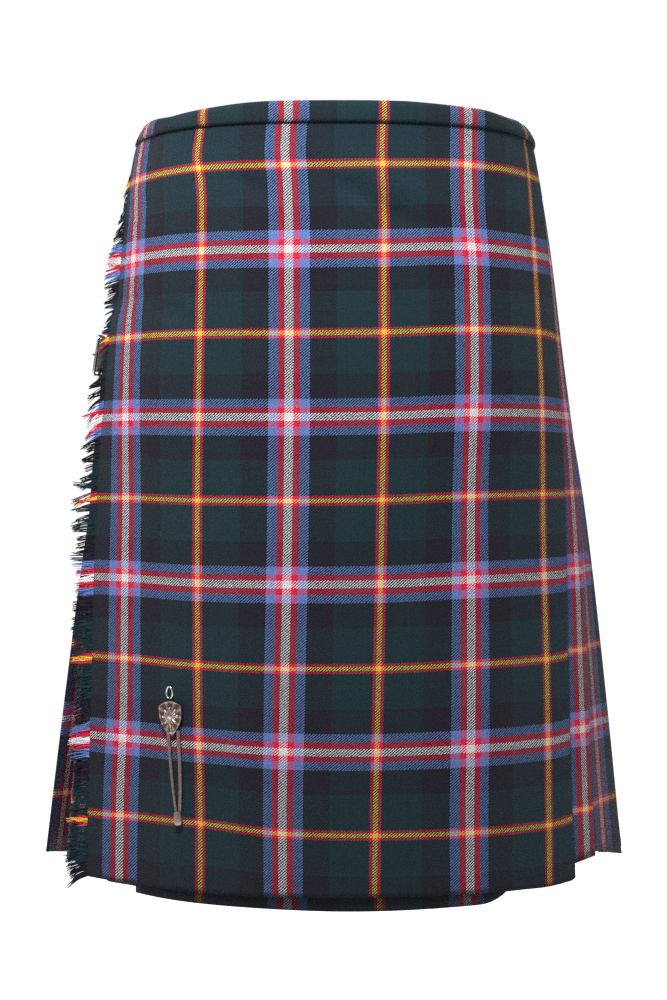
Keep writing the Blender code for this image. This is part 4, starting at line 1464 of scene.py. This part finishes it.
def make_tab(path):
    strap = path.strap
    tab, bar, stub, _ = buckle_heights()
    heel = strap.run + BUCKLE_LENGTH
    radius = bar - tab
    rows = [(heel + TAB_LENGTH * (1 - step / 12), tab, 1) for step in range(12)] + [(heel, tab, 1)]
    for step in range(1, 9):
        angle = math.pi * step / 9
        rows.append((heel - radius * math.sin(angle), bar - radius * math.cos(angle), 1))
    rows += [(heel, stub, 1)] + [(heel + STUB * step / 4, stub, 1) for step in range(1, 5)]
    outline = strip_outline(STRAP_WIDTH, LEATHER)
    grid = np.empty((len(rows), len(outline), 3))
    flat = np.array([(d, h) for d, h, _ in rows])
    ahead = np.gradient(flat, axis=0)
    ahead /= np.linalg.norm(ahead, axis=1, keepdims=True)
    for i, (distance, height) in enumerate(flat):
        for j, (down, out) in enumerate(outline):
            grid[i, j] = path.place(
                distance + ahead[i, 1] * out, height - ahead[i, 0] * out, strap.depth + down
            )
    item = leather_strip(f"tab_{strap.name}_leather", grid)
    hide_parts(f"tab_{strap.name}")


def make_keeper(path):
    strap = path.strap
    tab = buckle_heights()[0]
    side = STRAP_WIDTH / 2 + LEATHER / 2 + AIR
    top = tab + 2 * (LEATHER + AIR)
    outline = ((-side, AIR), (-side, top - 0.0008), (-side + 0.0008, top), (0.0, top))
    outline += tuple((-down, height) for down, height in reversed(outline[:-1]))
    line = smooth_path([(d, h, 0.0) for d, h in outline], 0.0012)
    heel = strap.run + BUCKLE_LENGTH
    rows = []
    for share in np.linspace(0.0, 1.0, 6):
        distance = heel + KEEPER_AT + KEEPER_WIDTH * share
        rows.append([path.place(distance, height, strap.depth + down) for down, height, _ in line])
    rows = np.array(rows)
    uv = np.zeros((*rows.shape[:2], 2))
    item = grid_object(f"keeper_{strap.name}_leather", rows, uv, LEATHER_BLACK, LEATHER)
    bevel = item.modifiers.new("edges", "BEVEL")
    bevel.width = 0.0003
    bevel.segments = 2
    bevel.limit_method = "ANGLE"
    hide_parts(f"keeper_{strap.name}")


def make_stitches(path):
    """Thread along the tab's edges and across its end, where it is sewn to the pleats."""
    strap = path.strap
    tab = buckle_heights()[0]
    heel = strap.run + BUCKLE_LENGTH
    edge = STRAP_WIDTH / 2 - STITCH_LINE
    pitch, reach = 0.0030, 0.0020
    end = heel + TAB_LENGTH - 0.0030
    lines = []
    for distance in np.arange(heel + STUB + 0.004, heel + TAB_LENGTH - 0.004, pitch):
        for down in (-edge, edge):
            lines.append(((distance, down), (distance + reach, down)))
    for down in np.arange(-edge, edge - reach, pitch):
        lines.append(((end, down), (end, down + reach)))
    swell = np.array([0.25, 0.85, 1.0, 0.85, 0.25])
    ovals = circle(STITCH_RADIUS, 6)[None] * swell[:, None, None]
    points, faces = [], []
    for number, line in enumerate(lines):
        ends = [path.place(d, tab + LEATHER / 2, strap.depth + down) for d, down in line]
        grid = sweep(np.linspace(*ends, len(swell)), ovals)
        faces.append(tube_quads(*grid.shape[:2]) + number * grid.shape[0] * grid.shape[1])
        points.append(grid.reshape(-1, 3))
    mesh = mesh_of(f"stitches_{strap.name}", np.concatenate(points), np.concatenate(faces))
    make_outward(mesh)
    add_piece(f"stitches_{strap.name}", mesh, THREAD)


def make_straps():
    for strap in STRAPS:
        path = StrapPath(strap)
        place = buckle_frame(path)
        make_strap(path, place)
        make_tab(path)
        make_buckle(path, place)
        make_prong(path, place)
        make_keeper(path)
        make_stitches(path)


# --- kilt pin ----------------------------------------------------------------------------------


def pin_frame():
    """Where the pin lies on the over-apron: x across, y up the cloth, z out."""
    half = 0.040
    rise = CLOTH / 2 + PIN_OFF_CLOTH + 0.0006
    upper, lower = (Vector(ring_at(PIN_DEPTH + d).place(PIN_ARC, rise)) for d in (-half, half))
    ring = ring_at(PIN_DEPTH)
    ends = [Vector(ring.place(PIN_ARC + side * half / 4, 0.0)) for side in (-1, 1)]
    across = (ends[1] - ends[0]).normalized()
    up = (upper - lower).normalized()
    out = across.cross(up).normalized()
    across = up.cross(out)
    axes = Matrix((across, up, out)).transposed().to_4x4()
    return Matrix.Translation((upper + lower) / 2) @ axes @ Matrix.Rotation(PIN_LEAN, 4, "Z")


# The shield's width, as a share of its greatest, from its top (0) to its point (1).
SHIELD_OUTLINE = Curves(
    (
        (0.00, 0.50),
        (0.015, 0.85),
        (0.05, 0.97),
        (0.12, 1.00),
        (0.42, 0.97),
        (0.60, 0.84),
        (0.76, 0.62),
        (0.90, 0.34),
        (1.00, 0.05),
    )
)


def shield_relief(x, y):
    """Height of the shield's face: a large rosette with veined petals, sprays round it, and a stem."""
    middle = SHIELD_TOP - 0.45 * (SHIELD_TOP - SHIELD_BOTTOM)
    distance, angle = math.hypot(x, y - middle), math.atan2(y - middle, x)
    petal = 0.0074 * (0.70 + 0.30 * abs(math.cos(4 * angle)))
    inside = float(1.0 - smooth_step(petal - 0.0008, petal + 0.0004, distance))
    veins = 0.00034 * math.cos(16 * angle) * float(smooth_step(0.0015, 0.0040, distance))
    boss = 0.0005 * math.exp(-((distance / 0.0014) ** 2))
    outside = float(smooth_step(petal, petal + 0.0009, distance))
    sprays = 0.0004 * max(0.0, math.cos(10 * angle + 0.6)) * outside
    stem = 0.00045 * math.exp(-((x / 0.0007) ** 2)) * float(smooth_step(middle - 0.0065, middle - 0.0080, y))
    return (0.0004 + veins + boss) * inside + sprays + stem


def set_relief(mesh, values):
    """How far each point stands up out of its surroundings, 0 to 1."""
    layer = mesh.attributes.new("relief", "FLOAT", "POINT")
    layer.data.foreach_set("value", np.asarray(values, np.float32))


def make_shield(place):
    rows, columns = 56, 40
    height = SHIELD_TOP - SHIELD_BOTTOM
    front, stands = np.empty((rows, columns, 3)), np.empty((rows, columns))
    for i, share in enumerate(np.linspace(0.0, 1.0, rows)):
        half = SHIELD_WIDTH / 2 * float(SHIELD_OUTLINE(share)[0])
        for j, side in enumerate(np.linspace(-1.0, 1.0, columns)):
            x = half * side
            y = SHIELD_TOP - share * height - SHIELD_SHOULDER * side**2 * (1.0 - share) ** 2
            edge = min(1.0 - abs(side), share * 2.2, (1.0 - share) * 2.2)
            rim = 0.0005 * math.exp(-(((edge * half - 0.0009) / 0.0005) ** 2))
            fall = 0.0011 * (1.0 - min(1.0, edge * half / 0.0007)) ** 2
            dome = 0.0008 * (1.0 - side**2) * math.sin(math.pi * min(1.0, share * 1.1))
            relief = rim + 1.3 * shield_relief(x, y) * min(1.0, edge * half / 0.0014)
            front[i, j] = (x, y, SHIELD_THICKNESS - 0.0004 + dome + relief - fall)
            stands[i, j] = min(1.0, relief / 0.0013)
    back = front.copy()
    back[..., 2] = 0.0004
    back[..., :2] = front[..., :2] * (0.97, 1.0)
    index = numbered(rows, columns)
    quads = quads_of(index)
    border = np.concatenate([index[0, :], index[1:, -1], index[-1, -2::-1], index[-2:0:-1, 0]])
    sides = [(a, b, b + index.size, a + index.size) for a, b in zip(border, np.roll(border, -1))]
    faces = quads.tolist() + (quads[:, ::-1] + index.size).tolist() + sides
    verts = in_frame(place, np.concatenate([front.reshape(-1, 3), back.reshape(-1, 3)]))
    mesh = bpy.data.meshes.new("pin_shield_relief")
    mesh.from_pydata(verts.tolist(), [], faces)
    set_relief(mesh, np.concatenate([stands.reshape(-1), np.zeros(index.size)]))
    make_outward(mesh)
    mesh.shade_smooth()
    mesh.set_sharp_from_angle(angle=math.radians(60))
    item = add_piece("pin_shield_relief", mesh, PEWTER)
    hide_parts("pin_shield")


def make_leg(place, name, node, points, radii, flat):
    """A tapering rod, a little flattened, along a smooth curve."""
    line = smooth_path(points, 0.0015)
    radius = np.interp(np.linspace(0, 1, len(line)), np.linspace(0, 1, len(radii)), radii)
    ovals = circle(1.0, 12)[None] * np.stack([radius * flat, radius], -1)[:, None]
    item = swept_object(name, in_frame(place, line), ovals, PEWTER, up=out_of(place))
    set_relief(item.data, np.full(len(item.data.vertices), 0.25))
    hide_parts(node)


def make_clasp(place):
    """The cap at the pin's foot: a rounded block, open at the top, that the needle goes into."""
    share = np.linspace(0.0, 1.0, 15)
    line = [(0.0020, CLASP_BOTTOM + CLASP_HEIGHT * part, CLASP_THICKNESS / 2) for part in share]
    size = np.interp(share, (0, 0.06, 0.2, 0.45, 0.7, 1), (0.35, 0.75, 0.97, 1.0, 0.92, 0.80))
    outline = circle(1.0, 24)
    outline = np.sign(outline) * np.abs(outline) ** 0.7
    ovals = outline[None] * np.stack([CLASP_THICKNESS / 2 * size, CLASP_WIDTH / 2 * size], -1)[:, None]
    line = in_frame(place, line)
    item = swept_object("pin_clasp_cap", line, ovals, PEWTER, up=out_of(place))
    set_relief(item.data, np.full(len(item.data.vertices), 0.35))
    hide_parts("pin_clasp")


def make_pin_loop(place):
    middle = SHIELD_TOP + SEAM + LOOP_WIRE + LOOP_RADIUS
    points = [
        (LOOP_WIDTH * math.cos(turn), middle + LOOP_RADIUS * math.sin(turn), SPINE_RADIUS)
        for turn in np.linspace(-1.25, 4.5, 40)
    ]
    wire = circle(LOOP_WIRE * 0.75, 10)
    item = swept_object("pin_loop_wire", in_frame(place, points), wire, CHROME)
    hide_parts("pin_loop")


def make_pin():
    place = pin_frame()
    foot = CLASP_BOTTOM + CLASP_HEIGHT - 0.001
    make_shield(place)
    height = SPINE_RADIUS
    spine = [(0.0060, 0.0210), (0.0060, 0.010), (0.0052, -0.020), (0.0034, foot)]
    radii = SPINE_RADIUS * np.array([1.2, 1.15, 1.0])
    make_leg(place, "pin_spine_rod", "pin_spine", [(x, y, height) for x, y in spine], radii, 0.75)
    needle = [(-0.0030, 0.0200), (-0.0028, 0.008), (-0.0016, -0.022), (0.0002, foot)]
    radii = NEEDLE_RADIUS * np.array([1.8, 1.6, 1.3])
    make_leg(place, "pin_needle_rod", "pin_needle", [(x, y, height) for x, y in needle], radii, 0.8)
    make_clasp(place)
    make_pin_loop(place)


# --- stage -------------------------------------------------------------------------------------

# How strongly the white studio lights the kilt from straight below and from straight above.
AMBIENT_BELOW, AMBIENT_ABOVE = 0.0, 0.42
FLOOR_AT = -1.15
FLOOR_REACH = 30.0
Lamp = namedtuple("Lamp", "name location target size power")
LAMPS = (
    Lamp("key", (-0.25, -1.02, 0.95), (0.0, -0.12, 0.0), 0.50, 34.0),
    Lamp("back", (0.3, 1.90, 1.10), (0.0, 0.1, -0.25), 1.2, 26.0),
    Lamp("left", (-2.0, 0.25, 0.70), (0.0, 0.0, -0.25), 1.0, 9.0),
    Lamp("right", (2.0, 0.25, 0.70), (0.0, 0.0, -0.25), 1.0, 5.5),
)
CAMERA_AT = (0.0, -1.5, -0.288)
CAMERA_LENS = 63.72  # millimetres, with a 36 mm sensor
CAMERA_SHIFT = (-0.0025, -0.020)


def make_stage():
    nodes = Nodes("pale_floor")
    place = nodes.place()
    grain = nodes.noise(3.0, place, 2.0)
    nodes.set(
        Base_Color=nodes.greys(grain, (0.0, 0.86), (1.0, 0.90)),
        Roughness=0.9,
        Emission_Color=(1.0, 1.0, 1.0, 1.0),
        Emission_Strength=0.85,
    )
    mesh = bpy.data.meshes.new("floor")
    corners = [(x * FLOOR_REACH, y * FLOOR_REACH, FLOOR_AT) for x, y in ((-1, -1), (1, -1), (1, 1), (-1, 1))]
    mesh.from_pydata(corners, [], [(0, 1, 2, 3)])
    mesh.materials.append(nodes.material)
    floor = add_object("floor", mesh)
    # It looks white, but it isn't a lamp.
    floor.visible_diffuse = False
    floor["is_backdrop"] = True


def make_lamps():
    for lamp in LAMPS:
        data = bpy.data.lights.new(lamp.name, "AREA")
        data.shape = "DISK"
        data.size = lamp.size
        data.energy = lamp.power
        light = add_object(lamp.name, data)
        light.location = lamp.location
        aim = Vector(lamp.target) - Vector(lamp.location)
        light.rotation_euler = aim.to_track_quat("-Z", "Y").to_euler()


def make_world():
    """A white studio: the walls look white to the camera, and light more from above than from below."""
    world = bpy.data.worlds.new("studio")
    world.use_nodes = True
    tree = world.node_tree
    background = tree.nodes["Background"]
    seen = tree.nodes.new("ShaderNodeLightPath").outputs["Is Camera Ray"]
    place = tree.nodes.new("ShaderNodeTexCoord").outputs["Generated"]
    height = tree.nodes.new("ShaderNodeSeparateXYZ")
    tree.links.new(place, height.inputs["Vector"])
    graded = tree.nodes.new("ShaderNodeMapRange")
    graded.inputs["From Min"].default_value = -1.0
    graded.inputs["To Min"].default_value = AMBIENT_BELOW
    graded.inputs["To Max"].default_value = AMBIENT_ABOVE
    tree.links.new(height.outputs["Z"], graded.inputs["Value"])
    strength = tree.nodes.new("ShaderNodeMapRange")
    tree.links.new(graded.outputs["Result"], strength.inputs["To Min"])
    tree.links.new(seen, strength.inputs["Value"])
    tree.links.new(strength.outputs["Result"], background.inputs["Strength"])
    background.inputs["Color"].default_value = (1.0, 1.0, 1.0, 1.0)
    bpy.context.scene.world = world


def make_camera():
    """The camera looks level along +Y, from 1.5 m in front of the kilt's middle."""
    data = bpy.data.cameras.new("camera")
    data.sensor_width = 36.0
    data.lens = CAMERA_LENS
    data.shift_x, data.shift_y = CAMERA_SHIFT
    data.clip_start, data.clip_end = 0.05, 80.0
    camera = add_object("camera", data)
    camera.location = CAMERA_AT
    camera.rotation_euler = (math.pi / 2, 0.0, 0.0)
    bpy.context.scene.camera = camera
    bpy.context.scene.view_settings.view_transform = "Standard"
    # The denoiser would wipe out the twill's ribs.
    bpy.context.scene.cycles.use_denoising = False


# --- build -------------------------------------------------------------------------------------

over_apron = make_over_apron()
under_apron = make_under_apron()
pleats = make_pleats()
waistband = make_waistband()
fringe = make_fringe()
make_straps()
make_pin()

make_stage()
make_world()
make_lamps()
make_camera()

visual_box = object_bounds()
boxes = {"cad": CAD_BOX, "visual": visual_box}
{name: [list(corner) for corner in box] for name, box in boxes.items()}
